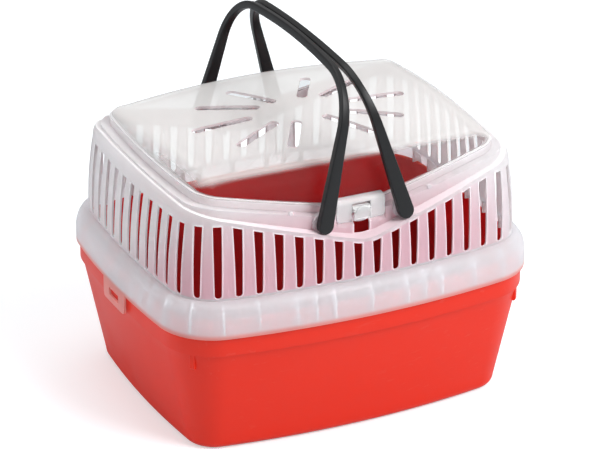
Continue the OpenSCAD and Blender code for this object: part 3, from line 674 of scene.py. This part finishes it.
def crown_rows():
    """Rows across the crown in plan, as [row, column, xy]: each of twelve sectors has columns that
    run beside its vent, two of them along the vent's edges, and rows from the middle outwards."""
    sector = np.arange(SECTORS) * 2 * math.pi / SECTORS
    half = math.pi / SECTORS
    start_end = VENT_R * (1 - np.cos(END_ANGLES))
    wide = VENT_R * np.sin(END_ANGLES)
    middle = np.linspace(0, 1, 6)[1:-1]

    def distances(a):
        """Distances of the rows from the middle, in the directions a."""
        r1, r2 = oval(VENT_FROM, a), oval(VENT_TO, a)
        inner = r1[..., None] * np.linspace(0, 1, CROWN_STEPS + 1)[:-1]
        near = r1[..., None] + start_end
        far = r2[..., None] - start_end[::-1]
        between = near[..., -1:] + (far[..., :1] - near[..., -1:]) * middle
        return np.concatenate([inner, near, between, far], -1)

    widths = np.concatenate([VENT_R * np.linspace(0, 1, CROWN_STEPS + 1)[:-1] * 0.9, wide,
                             np.full(len(middle), VENT_R), wide[::-1]])
    own = distances(sector)
    edge = distances(sector + half)
    edge_before = distances(sector - half)
    ahead = np.stack([np.cos(sector), np.sin(sector)], -1)
    beside = np.stack([-np.sin(sector), np.cos(sector)], -1)
    columns = []
    for side, border, a in ((-1, edge_before, sector - half), (1, edge, sector + half)):
        hole = own[..., None] * ahead[:, None] + side * widths[None, :, None] * beside[:, None]
        rim = border[..., None] * np.stack([np.cos(a), np.sin(a)], -1)[:, None]
        fan = hole[..., None, :] + (rim - hole)[..., None, :] * SPREAD[:, None]
        columns.append(fan)
    centre = own[..., None] * ahead[:, None]
    before = columns[0][:, :, ::-1]
    after = columns[1][:, :, :-1]
    grid = np.concatenate([before, centre[:, :, None], after], 2)
    return grid.transpose(1, 0, 2, 3).reshape(grid.shape[1], -1, 2)


def lid_runs():
    """Runs of the outline for the lid's columns: each column's even share of a turn, taken as the
    same share of the outline."""
    count = SECTORS * VENT_COLUMNS
    share = (np.arange(count) - len(SPREAD)) / count
    return np.mod(QUARTER * (1 - 4 * share), 4 * QUARTER)


def lid_skin(t):
    """The lid's skin at depth t: rim, upright wall, rounded edge and crown, from the rim's foot
    to the middle, with the crown's columns beside the vents. Also the rows between which the
    vents are open."""
    grid = crown_rows()
    run = lid_runs()
    rows = []
    rim_x, _ = plan(run, LID_IN)
    foot = seat_vee(rim_x) + LID_GAP
    r = RIM_SOFT
    if t == 0:
        line = [(LID_IN, 0), (LID_IN, RIM_H - r), (LID_IN + 0.25, RIM_H - 0.25), (LID_IN + r, RIM_H),
                (DOME_IN - 0.3, RIM_H), (DOME_IN, RIM_H + 0.3)]
    else:
        line = [(DOME_IN + t, h) for h in [0, *np.linspace(RIM_H - r, RIM_H, 5)]]
    for inset, h in line:
        rows.append(plan_row(run, inset, foot + h))
    spring = np.maximum(DOME_Z - t, foot + RIM_H + 0.4)
    for k in (0.3, 0.65, 1.0):
        rows.append(plan_row(run, DOME_IN + t, foot + RIM_H + (spring - foot - RIM_H) * k))
    c, s = arc(14)
    rise = crown_height(*plan(run, CORNER_R)) - t - spring
    for a, b in zip(c[1:], s[1:]):
        inset = DOME_IN + t + (CORNER_R - DOME_IN - t) * (1 - a)
        rows.append(plan_row(run, inset, spring + rise * b))
    edge = rows[-1][:, :2]
    between = [edge + (grid[-1] - edge) * k for k in np.linspace(0, 1, 7)[1:-1]]
    start = len(rows) + len(between)
    for flat in [*between, *grid[::-1]]:
        rows.append(np.concatenate([flat, crown_height(flat[:, :1], flat[:, 1:]) - t], 1))
    return np.stack(rows), (start, start + len(grid) - 1 - CROWN_STEPS)


def lid_parts():
    """Outer and inner skins of the lid, with the vents left out except straight to the sides."""
    outer, (first, last) = lid_skin(0.0)
    inner, _ = lid_skin(WALL)
    rows, cols = outer.shape[:2]
    keep = np.ones((rows - 1, cols), bool)
    column = np.arange(cols)
    sector = column // VENT_COLUMNS
    in_vent = np.isin(column % VENT_COLUMNS, (len(SPREAD) - 1, len(SPREAD)))
    keep[first:last] = ~(in_vent & (sector % 6 != 3))
    trim = np.zeros_like(keep, dtype=int)
    trim[0] = RIM_FOOT_NUMBER
    trim[1:RIM_ROWS] = RIM_NUMBER
    return [thick(outer, inner, keep, trim=trim)]


def hood_parts():
    """The hood: a plate carried up its front, round its upper edge and back along its roof, with a
    notch for the tab, and upright cheeks that join it to the rim and hold the latch pin."""
    notch = LATCH_X + NOTCH_GAP
    roof, back = HOOD_HEAD - HOOD_R, -HALF_W + DOME_IN + 1
    x = np.array([0, notch - 1.5, notch, notch + 2, HOOD_X - 1.5, HOOD_X])
    x = np.concatenate([-x[:0:-1], x])
    lift = np.array([0, 0, 0, 0, 0.4, 2.0])
    lift = np.concatenate([lift[:0:-1], lift])
    c, s = arc(6)
    skins = []
    for t in (0.0, HOOD_T):
        line = [(HOOD_Y + t, z) for z in (HOOD_FOOT, HOOD_FOOT + 3, roof - 1.5)]
        line += [(HOOD_Y + HOOD_R - (HOOD_R - t) * a, roof + (HOOD_R - t) * b) for a, b in zip(c, s)]
        line += [(back, HOOD_HEAD - t)]
        line = np.array(line)
        z = line[:, 1:] + lift * (np.arange(len(line)) == 0)[:, None]
        skins.append(np.stack(np.broadcast_arrays(x, line[:, :1], z), -1))
    keep = np.ones((skins[0].shape[0] - 1, len(x) - 1), bool)
    keep[:4, np.abs((x[1:] + x[:-1]) / 2) < notch] = False
    seat = float(seat_vee(np.float64(HOOD_X))) + LID_GAP
    outer = [(HOOD_Y + 1, seat), (back, seat), (back, HOOD_HEAD - 1), (HOOD_Y + HOOD_R, HOOD_HEAD - 1),
             (HOOD_Y + 1, roof)]
    inner = [(HOOD_Y + 1, seat), (back, seat), (back, roof + 1), (HOOD_Y + 1, roof - 0.2)]
    parts = [thick(skins[0], skins[1], keep, wrap=False)]
    for side in (1, -1):
        parts.append(prism(outer, (HOOD_X - HOOD_T, HOOD_X - 0.1), along_x(side)))
        parts.append(prism(inner, (notch, notch + 2.1), along_x(side)))
    return parts


def lid_knuckle():
    """Knuckle and hinge pins on the back of the rim, with the web that joins them."""
    pin = KNUCKLE_X + EAR_T
    web = [(HALF_W - LID_IN - 1, HINGE_Z - KNUCKLE_R), (HINGE_Y, HINGE_Z - KNUCKLE_R),
           (HINGE_Y, HINGE_Z), (HALF_W - LID_IN - 1, HINGE_Z)]
    return [bar([-KNUCKLE_X, HINGE_Y, HINGE_Z], [KNUCKLE_X, HINGE_Y, HINGE_Z], KNUCKLE_R),
            bar([-pin, HINGE_Y, HINGE_Z], [pin, HINGE_Y, HINGE_Z], HINGE_PIN_R),
            prism(web, (-KNUCKLE_X, KNUCKLE_X), along_x())]


def latch_parts():
    """Arched tab: its outline shrinks in steps to a raised border and a sunk field in front."""
    c, s = arc(16, 0, 180)
    middle = LATCH_HEAD - LATCH_X
    outline = [(LATCH_X * a, middle + LATCH_X * b) for a, b in zip(c, s)]
    outline += [(-LATCH_X, z) for z in np.linspace(middle, LATCH_FOOT, 6)[1:]]
    outline += [(x, LATCH_FOOT) for x in np.linspace(-LATCH_X, LATCH_X, 6)[1:-1]]
    outline += [(LATCH_X, z) for z in np.linspace(LATCH_FOOT, middle, 6)[:-1]]
    flat = np.array(outline)
    centre = np.array([0, (LATCH_FOOT + LATCH_HEAD) / 2])
    front = LATCH_BACK - LATCH_T
    steps = [(0.3, LATCH_BACK), (0.96, LATCH_BACK), (1, LATCH_BACK - 0.3), (1, front + 0.4),
             (0.97, front + 0.1), (0.93, front), (0.8, front), (0.76, front + 0.5), (0.3, front + 0.5)]
    rings = []
    for scale, y in steps:
        ring = centre + (flat - centre) * scale
        rings.append(np.stack([ring[:, 0], np.full(len(ring), y), ring[:, 1]], -1))
    end = LATCH_X + LATCH_PIN_OUT
    arm = [(LATCH_BACK - 1, LATCH_Z - LATCH_ARM), (LATCH_Y, LATCH_Z - LATCH_ARM),
           (LATCH_Y, LATCH_Z + LATCH_ARM), (LATCH_BACK - 1, LATCH_Z + LATCH_ARM)]
    return [tube(np.stack(rings), caps=True),
            bar([-LATCH_X, LATCH_Y, LATCH_Z], [LATCH_X, LATCH_Y, LATCH_Z], LATCH_BARREL_R),
            bar([-end, LATCH_Y, LATCH_Z], [end, LATCH_Y, LATCH_Z], LATCH_PIN_R),
            prism(arm, (-LATCH_X, LATCH_X), along_x())]


# ---- handles ----
def bail_path():
    """Middle line of the strap in its own plane, from the tip of one leg over the top to the
    other: a leaning leg, a corner arc, and a shallow arc across the top, all tangent."""
    leg_y = side_y(PIVOT_X, SEAT_IN) + BOSS_OUT + BOSS_GAP + STRAP_T
    bow_r = (leg_y - BAIL_R) ** 2 / (2 * BAIL_BOW)
    bow_c = BAIL_H - bow_r
    cos, sin = math.cos(LEG_LEAN), math.sin(LEG_LEAN)
    # the corner's centre is BAIL_R inside the leg's outer line and inside the top arc; its height w
    # solves a quadratic
    a, b = (leg_y * cos - BAIL_R) / cos, -math.tan(LEG_LEAN)
    k, m, q = bow_r - BAIL_R, a * b - bow_c, 1 + b * b
    w = (-m + math.sqrt(m * m - q * (a * a + bow_c**2 - k * k))) / q
    centre = np.array([a + b * w, w])
    inset = STRAP_T / 2
    r = BAIL_R - inset
    joint = centre + r * np.array([cos, sin])
    foot_r = STRAP_FOOT / 2
    tip = foot_r * np.sin(np.radians(np.linspace(90, 0, 9)[:-1]))
    heights = np.concatenate([-tip, np.linspace(0, joint[1], 16)])
    leg = np.stack([joint[0] + (joint[1] - heights) * math.tan(LEG_LEAN), heights], -1)
    end = math.atan2(centre[1] - bow_c, centre[0])
    turn = np.linspace(LEG_LEAN, end, 20)[1:]
    corner = centre + r * np.stack([np.cos(turn), np.sin(turn)], -1)
    over = np.linspace(end, math.pi / 2, 16)[1:]
    top = np.array([0, bow_c]) + (bow_r - inset) * np.stack([np.cos(over), np.sin(over)], -1)
    half = np.concatenate([leg, corner, top])
    return np.concatenate([half, half[-2::-1] * [-1, 1]]), leg_y


def strap():
    """Rounded rectangle carried along the bail's middle line; its width tapers with height and
    closes as a half circle at the foot of each leg."""
    path, leg_y = bail_path()
    height = path[:, 1]
    foot = STRAP_FOOT / 2
    taper = foot + (STRAP_TOP / 2 - foot) * np.clip(height / TAPER_H, 0, 1)
    wide = np.where(height < 0, np.sqrt(np.maximum(foot**2 - height**2, 1e-4)), taper)
    deep = np.full(len(path), STRAP_T / 2)
    soft = np.minimum(STRAP_SOFT, np.minimum(wide, deep))
    along = np.gradient(path, axis=0)
    along /= np.linalg.norm(along, axis=1)[:, None]
    out = np.stack([along[:, 1], -along[:, 0]], -1)
    a = np.radians(np.linspace(0, 90, STRAP_ROUND))
    corner = np.concatenate([a + k * math.pi / 2 for k in range(4)])
    quad = np.repeat(np.arange(4), STRAP_ROUND)
    sx, sy = np.array([1, -1, -1, 1])[quad], np.array([1, 1, -1, -1])[quad]
    u = sx * (wide - soft)[:, None] + soft[:, None] * np.cos(corner)
    v = sy * (deep - soft)[:, None] + soft[:, None] * np.sin(corner)
    yz = path[:, None] + v[..., None] * out[:, None]
    return tube(np.concatenate([u[..., None], yz], -1), caps=True), leg_y


def handle_parts(side, top):
    """A strap and its two pins, leaning from the pivot towards the middle."""
    (points, faces, _), leg_y = strap()
    inside = side_y(PIVOT_X, SEAT_IN + WALL) + LID_GAP
    pins = [bar([0, s * inside, 0], [0, s * (leg_y - STRAP_T / 2), 0], PIN_R) for s in (1, -1)]
    lean = math.asin((PIVOT_X - top) / BAIL_H)
    turn = np.array([[math.cos(lean), 0, math.sin(lean)], [0, 1, 0], [-math.sin(lean), 0, math.cos(lean)]])
    if side > 0:
        turn = turn.T
    place = np.array([side * PIVOT_X, 0, PIVOT_Z])
    return [(p @ turn.T + place, f, k) for p, f, k in [(points, faces, None)] + pins]


# ---- materials ----
class Nodes:
    """Adds nodes to one tree and links them by socket name."""

    def __init__(self, tree):
        self.tree = tree
        tree.nodes.clear()

    def add(self, kind, **values):
        """A new node with some of its settings."""
        node = self.tree.nodes.new(kind)
        for key, value in values.items():
            setattr(node, key, value)
        return node

    def join(self, source, target):
        """Links two sockets."""
        self.tree.links.new(source, target)

    def feed(self, socket, value):
        """Links a socket, or sets it to a number or a colour."""
        if isinstance(value, bpy.types.NodeSocket):
            self.join(value, socket)
        elif isinstance(value, tuple):
            socket.default_value = (*value, 1)
        else:
            socket.default_value = value

    def axes(self, space):
        """X, Y and Z of a texture coordinate, as sockets."""
        split = self.add("ShaderNodeSeparateXYZ")
        self.join(self.add("ShaderNodeTexCoord").outputs[space], split.inputs[0])
        return split.outputs

    def blend(self, factor, a, b):
        """Colour between a and b."""
        node = self.add("ShaderNodeMix", data_type="RGBA")
        colours = [socket for socket in node.inputs if socket.type == "RGBA"]
        self.feed(node.inputs["Factor"], factor)
        self.feed(colours[0], a)
        self.feed(colours[1], b)
        return [socket for socket in node.outputs if socket.type == "RGBA"][0]

    def sums(self, operation, a, b=0.0):
        """One math step on two values."""
        node = self.add("ShaderNodeMath", operation=operation)
        self.feed(node.inputs[0], a)
        self.feed(node.inputs[1], b)
        return node.outputs[0]

    def ramp(self, value, low, high, first=0.0, last=1.0):
        """Smooth step of a value between low and high, from first to last."""
        node = self.add("ShaderNodeMapRange", interpolation_type="SMOOTHSTEP")
        self.feed(node.inputs["Value"], value)
        for label, level in (("From Min", low), ("From Max", high), ("To Min", first), ("To Max", last)):
            node.inputs[label].default_value = level
        return node.outputs["Result"]


def moulded_group():
    """Shared surface of a moulded plastic: fine grain, long faint scuffs and soft waves. Gives a
    height for a bump, a roughness and a mask of worn, dusty spots."""
    tree = bpy.data.node_groups.new("moulded_surface", "ShaderNodeTree")
    face = tree.interface
    for label, value in (("Grain Size", 900.0), ("Grain", 0.3), ("Scuffs", 0.3), ("Roughness", 0.3),
                         ("Spread", 0.1)):
        face.new_socket(name=label, in_out="INPUT", socket_type="NodeSocketFloat").default_value = value
    for label in ("Height", "Roughness", "Wear"):
        face.new_socket(name=label, in_out="OUTPUT", socket_type="NodeSocketFloat")
    n = Nodes(tree)
    given = n.add("NodeGroupInput")
    result = n.add("NodeGroupOutput")
    place = n.add("ShaderNodeTexCoord")

    def noise(scale, detail, stretch=None):
        """Noise on object coordinates, turned and stretched where asked."""
        node = n.add("ShaderNodeTexNoise")
        node.inputs["Detail"].default_value = detail
        node.inputs["Scale"].default_value = scale
        source = place.outputs["Object"]
        if stretch:
            mapping = n.add("ShaderNodeMapping")
            mapping.inputs["Scale"].default_value = stretch
            mapping.inputs["Rotation"].default_value = (0.3, 0.2, 0.7)
            n.join(source, mapping.inputs["Vector"])
            source = mapping.outputs["Vector"]
        n.join(source, node.inputs["Vector"])
        return node

    grain = noise(900.0, 2.0)
    n.join(given.outputs["Grain Size"], grain.inputs["Scale"])
    scuff = noise(60.0, 5.0, (1.0, 14.0, 5.0))
    wave = noise(9.0, 3.0)
    lines = n.ramp(scuff.outputs[0], 0.6, 0.72)
    clouds = n.ramp(wave.outputs[0], 0.42, 0.68)
    worn = n.sums("MULTIPLY", lines, clouds)
    height = n.sums("MULTIPLY", grain.outputs[0], given.outputs["Grain"])
    cut = n.sums("MULTIPLY", worn, given.outputs["Scuffs"])
    n.join(n.sums("SUBTRACT", height, cut), result.inputs["Height"])
    rough = n.sums("MULTIPLY", n.sums("ADD", clouds, worn), given.outputs["Spread"])
    n.join(n.sums("ADD", rough, given.outputs["Roughness"]), result.inputs["Roughness"])
    n.join(worn, result.inputs["Wear"])
    return tree


MOULDED = moulded_group()


def moulded(size, grain, scuffs, roughness, spread):
    """Values for the inputs of the shared surface."""
    return {"Grain Size": size, "Grain": grain, "Scuffs": scuffs, "Roughness": roughness, "Spread": spread}


def plastic(name, colour, worn, surface, bump, ior, specular=0.5, clear=0.0, alpha=1.0):
    """A Principled plastic on the shared moulded surface: two tones mixed by wear, roughness and
    bump from the group; clear is its share of transmission. Returns the material, its nodes and
    the Principled shader."""
    material = bpy.data.materials.new(name)
    material.use_nodes = True
    n = Nodes(material.node_tree)
    group = n.add("ShaderNodeGroup", node_tree=MOULDED)
    for label, value in surface.items():
        group.inputs[label].default_value = value
    skin = n.add("ShaderNodeBsdfPrincipled")
    for label, value in (("IOR", ior), ("Specular IOR Level", specular), ("Transmission Weight", clear),
                         ("Alpha", alpha)):
        skin.inputs[label].default_value = value
    n.join(n.blend(group.outputs["Wear"], colour, worn), skin.inputs["Base Color"])
    n.join(group.outputs["Roughness"], skin.inputs["Roughness"])
    relief = n.add("ShaderNodeBump")
    relief.inputs["Strength"].default_value = bump
    relief.inputs["Distance"].default_value = BUMP_HEIGHT
    n.join(group.outputs["Height"], relief.inputs["Height"])
    n.join(relief.outputs["Normal"], skin.inputs["Normal"])
    end = n.add("ShaderNodeOutputMaterial")
    n.join(skin.outputs[0], end.inputs["Surface"])
    return material, n, skin


def facing_alpha(n, skin, clear, milky, low, high, shade=0.0):
    """Alpha that grows from clear where the surface faces the eye to milky where it turns away;
    light that only lights what lies inside meets at least the density shade."""
    facing = n.add("ShaderNodeLayerWeight")
    facing.inputs["Blend"].default_value = 0.5
    alpha = n.ramp(facing.outputs["Facing"], low, high, clear, milky)
    path = n.add("ShaderNodeLightPath")
    light = n.sums("MAXIMUM", path.outputs["Is Shadow Ray"], path.outputs["Is Diffuse Ray"])
    n.join(n.sums("MAXIMUM", alpha, n.sums("MULTIPLY", light, shade)), skin.inputs["Alpha"])


def tint(n, skin, mask, colour):
    """Lays a colour over the skin's own one, as far as a mask says."""
    base = skin.inputs["Base Color"].links[0].from_socket
    n.join(n.blend(mask, base, colour), skin.inputs["Base Color"])


def tub_plastic():
    """Glossy red of the tub's outside."""
    surface = moulded(1400.0, 0.25, 0.35, 0.32, 0.12)
    return plastic("tub_plastic", (0.83, 0.027, 0.008), (0.84, 0.06, 0.035), surface, 0.12,
                   ior=1.5, specular=0.3)[0]


def tub_inside():
    """The tub's inner faces: the same red, with painted shade that darkens it towards the floor."""
    surface = moulded(1400.0, 0.25, 0.3, 0.3, 0.1)
    material, n, skin = plastic("tub_inside", (0.9, 0.02, 0.022), (0.9, 0.05, 0.04), surface, 0.08,
                                ior=1.5, specular=0.3)
    # painted shade: a darker red low on the inner wall, standing in for the shade under cover and lid
    tint(n, skin, n.ramp(n.axes("Object")["Z"], *PAINTED_SHADE_Z, 1.0, 0.0), PAINTED_SHADE_RED)
    return material


def paint_red_glow(n, skin, wall_lift, foot_lift):
    """Paints onto a cover material the glow of the red tub shining through: the middle of the slotted
    front, fading towards the ends and the top, and a thin glowing line along the skirt's lower edge."""
    x, y, z = n.axes("Object")
    wall = n.sums("MULTIPLY", n.ramp(z, *GLOW_COMES), n.ramp(z, *GLOW_GOES, 1.0, 0.0))
    wall = n.sums("MULTIPLY", wall, n.ramp(x, *GLOW_ENDS, 1.0, GLOW_AT_END))
    back = n.sums("ADD", y, n.sums("MULTIPLY", n.sums("SUBTRACT", z, BACK_FROM_Z), BACK_TILT))
    wall = n.sums("MULTIPLY", wall, n.ramp(back, *GLOW_BACK, 1.0, 0.0))
    tint(n, skin, n.sums("MULTIPLY", wall, wall_lift), PAINTED_RED_GLOW)
    tint(n, skin, n.sums("MULTIPLY", n.ramp(z, *FOOT_LINE, 1.0, 0.0), foot_lift), PAINTED_FOOT_GLOW)


def cover_plastic(name, lift):
    """Frosted plastic of the wall or the band, with its share of the painted red glow."""
    surface = moulded(1100.0, 0.5, 0.4, 0.42, 0.15)
    material, n, skin = plastic(name, (0.97, 0.95, 0.965), (0.98, 0.96, 0.97), surface, 0.2,
                                ior=1.3, clear=0.52)
    # painted glow of the red tub behind, on the wall and along the skirt's foot
    paint_red_glow(n, skin, lift, 0.8)
    return material


def skirt_plastic():
    """Frosted plastic of the skirt and the clip tabs, a little clearer than the wall."""
    surface = moulded(1100.0, 0.5, 0.4, 0.32, 0.12)
    material, n, skin = plastic("skirt_plastic", (0.955, 0.955, 0.985), (0.97, 0.95, 0.98), surface, 0.2,
                                ior=1.25, clear=0.6)
    # painted glow of the red tub along the skirt's foot only
    paint_red_glow(n, skin, 0.0, 0.8)
    return material


def cover_edge():
    """Paler, nearly opaque lips and edges of the cover: a painted highlight where light catches the edges
    of the slots.
    """
    surface = moulded(1100.0, 0.4, 0.3, 0.3, 0.1)
    material, n, skin = plastic("cover_edge", (0.95, 0.93, 0.94), (0.97, 0.96, 0.96), surface, 0.15,
                                ior=1.49, alpha=0.92)
    # painted glow of the red tub, fainter on the lips
    paint_red_glow(n, skin, 0.45, 0.5)
    return material


def lid_plastic():
    """Clear shell of the lid, milky where it turns away from the eye."""
    surface = moulded(1500.0, 0.1, 0.3, 0.06, 0.08)
    material, n, skin = plastic("lid_plastic", (0.93, 0.92, 0.91), (0.9, 0.9, 0.9), surface, 0.05,
                                ior=1.49, specular=0.35)
    facing_alpha(n, skin, 0.015, 0.56, 0.28, 0.62, 0.7)
    return material


def vent_edge():
    """Pale walls of the vents, with a faint pink that paints the glow of the red tub showing in them."""
    surface = moulded(1500.0, 0.1, 0.2, 0.1, 0.08)
    return plastic("vent_edge", (0.97, 0.84, 0.87), (0.97, 0.9, 0.92), surface, 0.05,
                   ior=1.49, alpha=0.55)[0]


def lid_rim():
    """Rim of the lid, milkier than its shell."""
    surface = moulded(1500.0, 0.2, 0.3, 0.12, 0.1)
    material, n, skin = plastic("lid_rim", (0.92, 0.91, 0.92), (0.95, 0.95, 0.95), surface, 0.08,
                                ior=1.49, specular=0.6)
    facing_alpha(n, skin, 0.42, 0.8, 0.15, 0.7)
    return material


def hood_plastic():
    """Glossy, half clear hood over the latch."""
    surface = moulded(1500.0, 0.2, 0.3, 0.16, 0.08)
    return plastic("hood_plastic", (0.99, 0.985, 0.99), (0.99, 0.99, 0.99), surface, 0.08,
                   ior=1.22, specular=0.8, clear=0.62)[0]


def latch_plastic():
    """Milky clear plastic of the latch tab."""
    surface = moulded(1500.0, 0.1, 0.3, 0.1, 0.1)
    material, n, skin = plastic("latch_plastic", (0.9, 0.9, 0.9), (0.95, 0.95, 0.95), surface, 0.05,
                                ior=1.49, specular=0.6)
    facing_alpha(n, skin, 0.4, 0.8, 0.2, 0.7)
    return material


def handle_plastic():
    """Satin black of the handles."""
    surface = moulded(2000.0, 0.5, 0.4, 0.38, 0.12)
    return plastic("handle_plastic", (0.011, 0.011, 0.012), (0.03, 0.03, 0.031), surface, 0.2,
                   ior=1.5, specular=0.34)[0]


# ---- the pieces ----
make("red_tub", tub_parts() + gussets() + clip_lugs(), [tub_plastic(), tub_inside()],
     "tub", ["tub"])
frosted = cover_plastic("cover_plastic", WALL_GLOW)
cover = cover_parts() + numbered(skirt_ribs(), EDGE_NUMBER) + numbered(clip_tabs(), SKIRT_NUMBER)
cover += numbered(bosses() + nubs(), BAND_NUMBER) + hinge_ears()
make("slotted_cover", cover,
     [frosted, cover_edge(), skirt_plastic(), cover_plastic("band_plastic", BAND_GLOW)],
     "cover", ["cover"])
make("domed_lid", lid_parts() + numbered(hood_parts(), HOOD_NUMBER) + lid_knuckle(),
     [lid_plastic(), vent_edge(), lid_rim(), frosted, hood_plastic()], "lid", ["lid"])
make("latch_tab", latch_parts(), [latch_plastic()], "latch", ["latch"])
black = handle_plastic()
make("left_handle", handle_parts(-1, TOP_LEFT), [black], "handle_left", ["handle_left"])
make("right_handle", handle_parts(1, TOP_RIGHT), [black], "handle_right", ["handle_right"])


# ---- stage: floor, light and camera ----


def behind_plastic(n, path):
    """How much darker the backdrop reads to a camera ray that has crossed clear plastic."""
    crossed = n.sums("MINIMUM", path.outputs["Transparent Depth"], 1.0)
    return n.sums("MULTIPLY", n.sums("MULTIPLY", crossed, path.outputs["Is Camera Ray"]), BEHIND)


def floor():
    """A wide pale floor that reads white to the camera and keeps the shadow."""
    mesh = bpy.data.meshes.new("floor")
    corners = [(x * FLOOR_HALF, y * FLOOR_HALF, 0) for x, y in ((-1, -1), (1, -1), (1, 1), (-1, 1))]
    mesh.from_pydata(corners, [], [(0, 1, 2, 3)])
    plane = placed("floor", mesh)
    material = bpy.data.materials.new("pale_floor")
    material.use_nodes = True
    n = Nodes(material.node_tree)
    path = n.add("ShaderNodeLightPath")
    skin = n.add("ShaderNodeBsdfDiffuse")
    skin.inputs["Color"].default_value = FLOOR_TONE
    glow = n.add("ShaderNodeEmission")
    glow.inputs["Color"].default_value = (1, 1, 1, 1)
    both = n.add("ShaderNodeAddShader")
    n.join(skin.outputs[0], both.inputs[0])
    n.join(glow.outputs[0], both.inputs[1])
    end = n.add("ShaderNodeOutputMaterial")
    n.join(both.outputs[0], end.inputs["Surface"])
    seen = n.sums("MAXIMUM", path.outputs["Is Camera Ray"], path.outputs["Is Transmission Ray"])
    level = n.sums("MULTIPLY", seen, FLOOR_GLOW)
    darker = n.sums("MULTIPLY", behind_plastic(n, path), FLOOR_BEHIND)
    n.join(n.sums("SUBTRACT", level, darker), glow.inputs["Strength"])
    mesh.materials.append(material)


def world():
    """White to the camera and through clear plastic; as light, and in reflections, a plain level
    that grows towards the right."""
    sky = bpy.data.worlds.new("studio")
    bpy.context.scene.world = sky
    sky.use_nodes = True
    n = Nodes(sky.node_tree)
    path = n.add("ShaderNodeLightPath")
    seen = n.sums("MAXIMUM", path.outputs["Is Camera Ray"], path.outputs["Is Transmission Ray"])
    sides = n.ramp(n.axes("Generated")["X"], -SKY_SIDES, SKY_SIDES, SKY_LEFT, SKY_RIGHT)
    light = n.sums("MULTIPLY", sides, SKY_LIGHT)
    dark = n.sums("SUBTRACT", 1.0, seen)
    level = n.sums("ADD", seen, n.sums("MULTIPLY", dark, light))
    back = n.add("ShaderNodeBackground")
    n.join(n.sums("SUBTRACT", level, behind_plastic(n, path)), back.inputs["Strength"])
    end = n.add("ShaderNodeOutputWorld")
    n.join(back.outputs[0], end.inputs["Surface"])


def lamp(name, place, target, size, power):
    """Soft square area lamp looking at a point."""
    data = bpy.data.lights.new(name, "AREA")
    data.shape = "RECTANGLE"
    data.size, data.size_y = size
    data.energy = power
    light = placed(name, data)
    light.location = place
    light.rotation_euler = (Vector(target) - Vector(place)).to_track_quat("-Z", "Y").to_euler()


def camera():
    """Camera at the viewing angle: back along azimuth and elevation, with a slight roll."""
    azimuth, elevation, roll = (math.radians(v) for v in (AZIMUTH, ELEVATION, ROLL))
    data = bpy.data.cameras.new("camera")
    data.sensor_width = SENSOR
    data.lens = SENSOR * FOCAL_PIXELS / FRAME_WIDTH
    data.clip_start, data.clip_end = 0.05, 50.0
    eye = placed("camera", data)
    back = Vector((math.sin(azimuth) * math.cos(elevation), -math.cos(azimuth) * math.cos(elevation),
                      math.sin(elevation)))
    right = Vector((math.cos(azimuth), math.sin(azimuth), 0))
    up = back.cross(right)
    across = right * math.cos(roll) + up * math.sin(roll)
    upright = back.cross(across)
    turn = Matrix((across, upright, back)).transposed()
    eye.matrix_world = Matrix.Translation(EYE) @ turn.to_4x4()
    bpy.context.scene.camera = eye


floor()
world()
lamp("key", (0.9, -1.6, 1.9), (0, 0, 0.1), (1.2, 1.2), 54)
lamp("fill", (-2.3, 0.9, 1.2), (0, 0, 0.12), (1.4, 1.4), 24)
lamp("top", (0.1, 0.5, 2.2), (0, 0, 0.1), (1.6, 1.6), 15)
camera()

scene = bpy.context.scene
scene.view_settings.view_transform = "Standard"
scene.cycles.transparent_max_bounces = 32
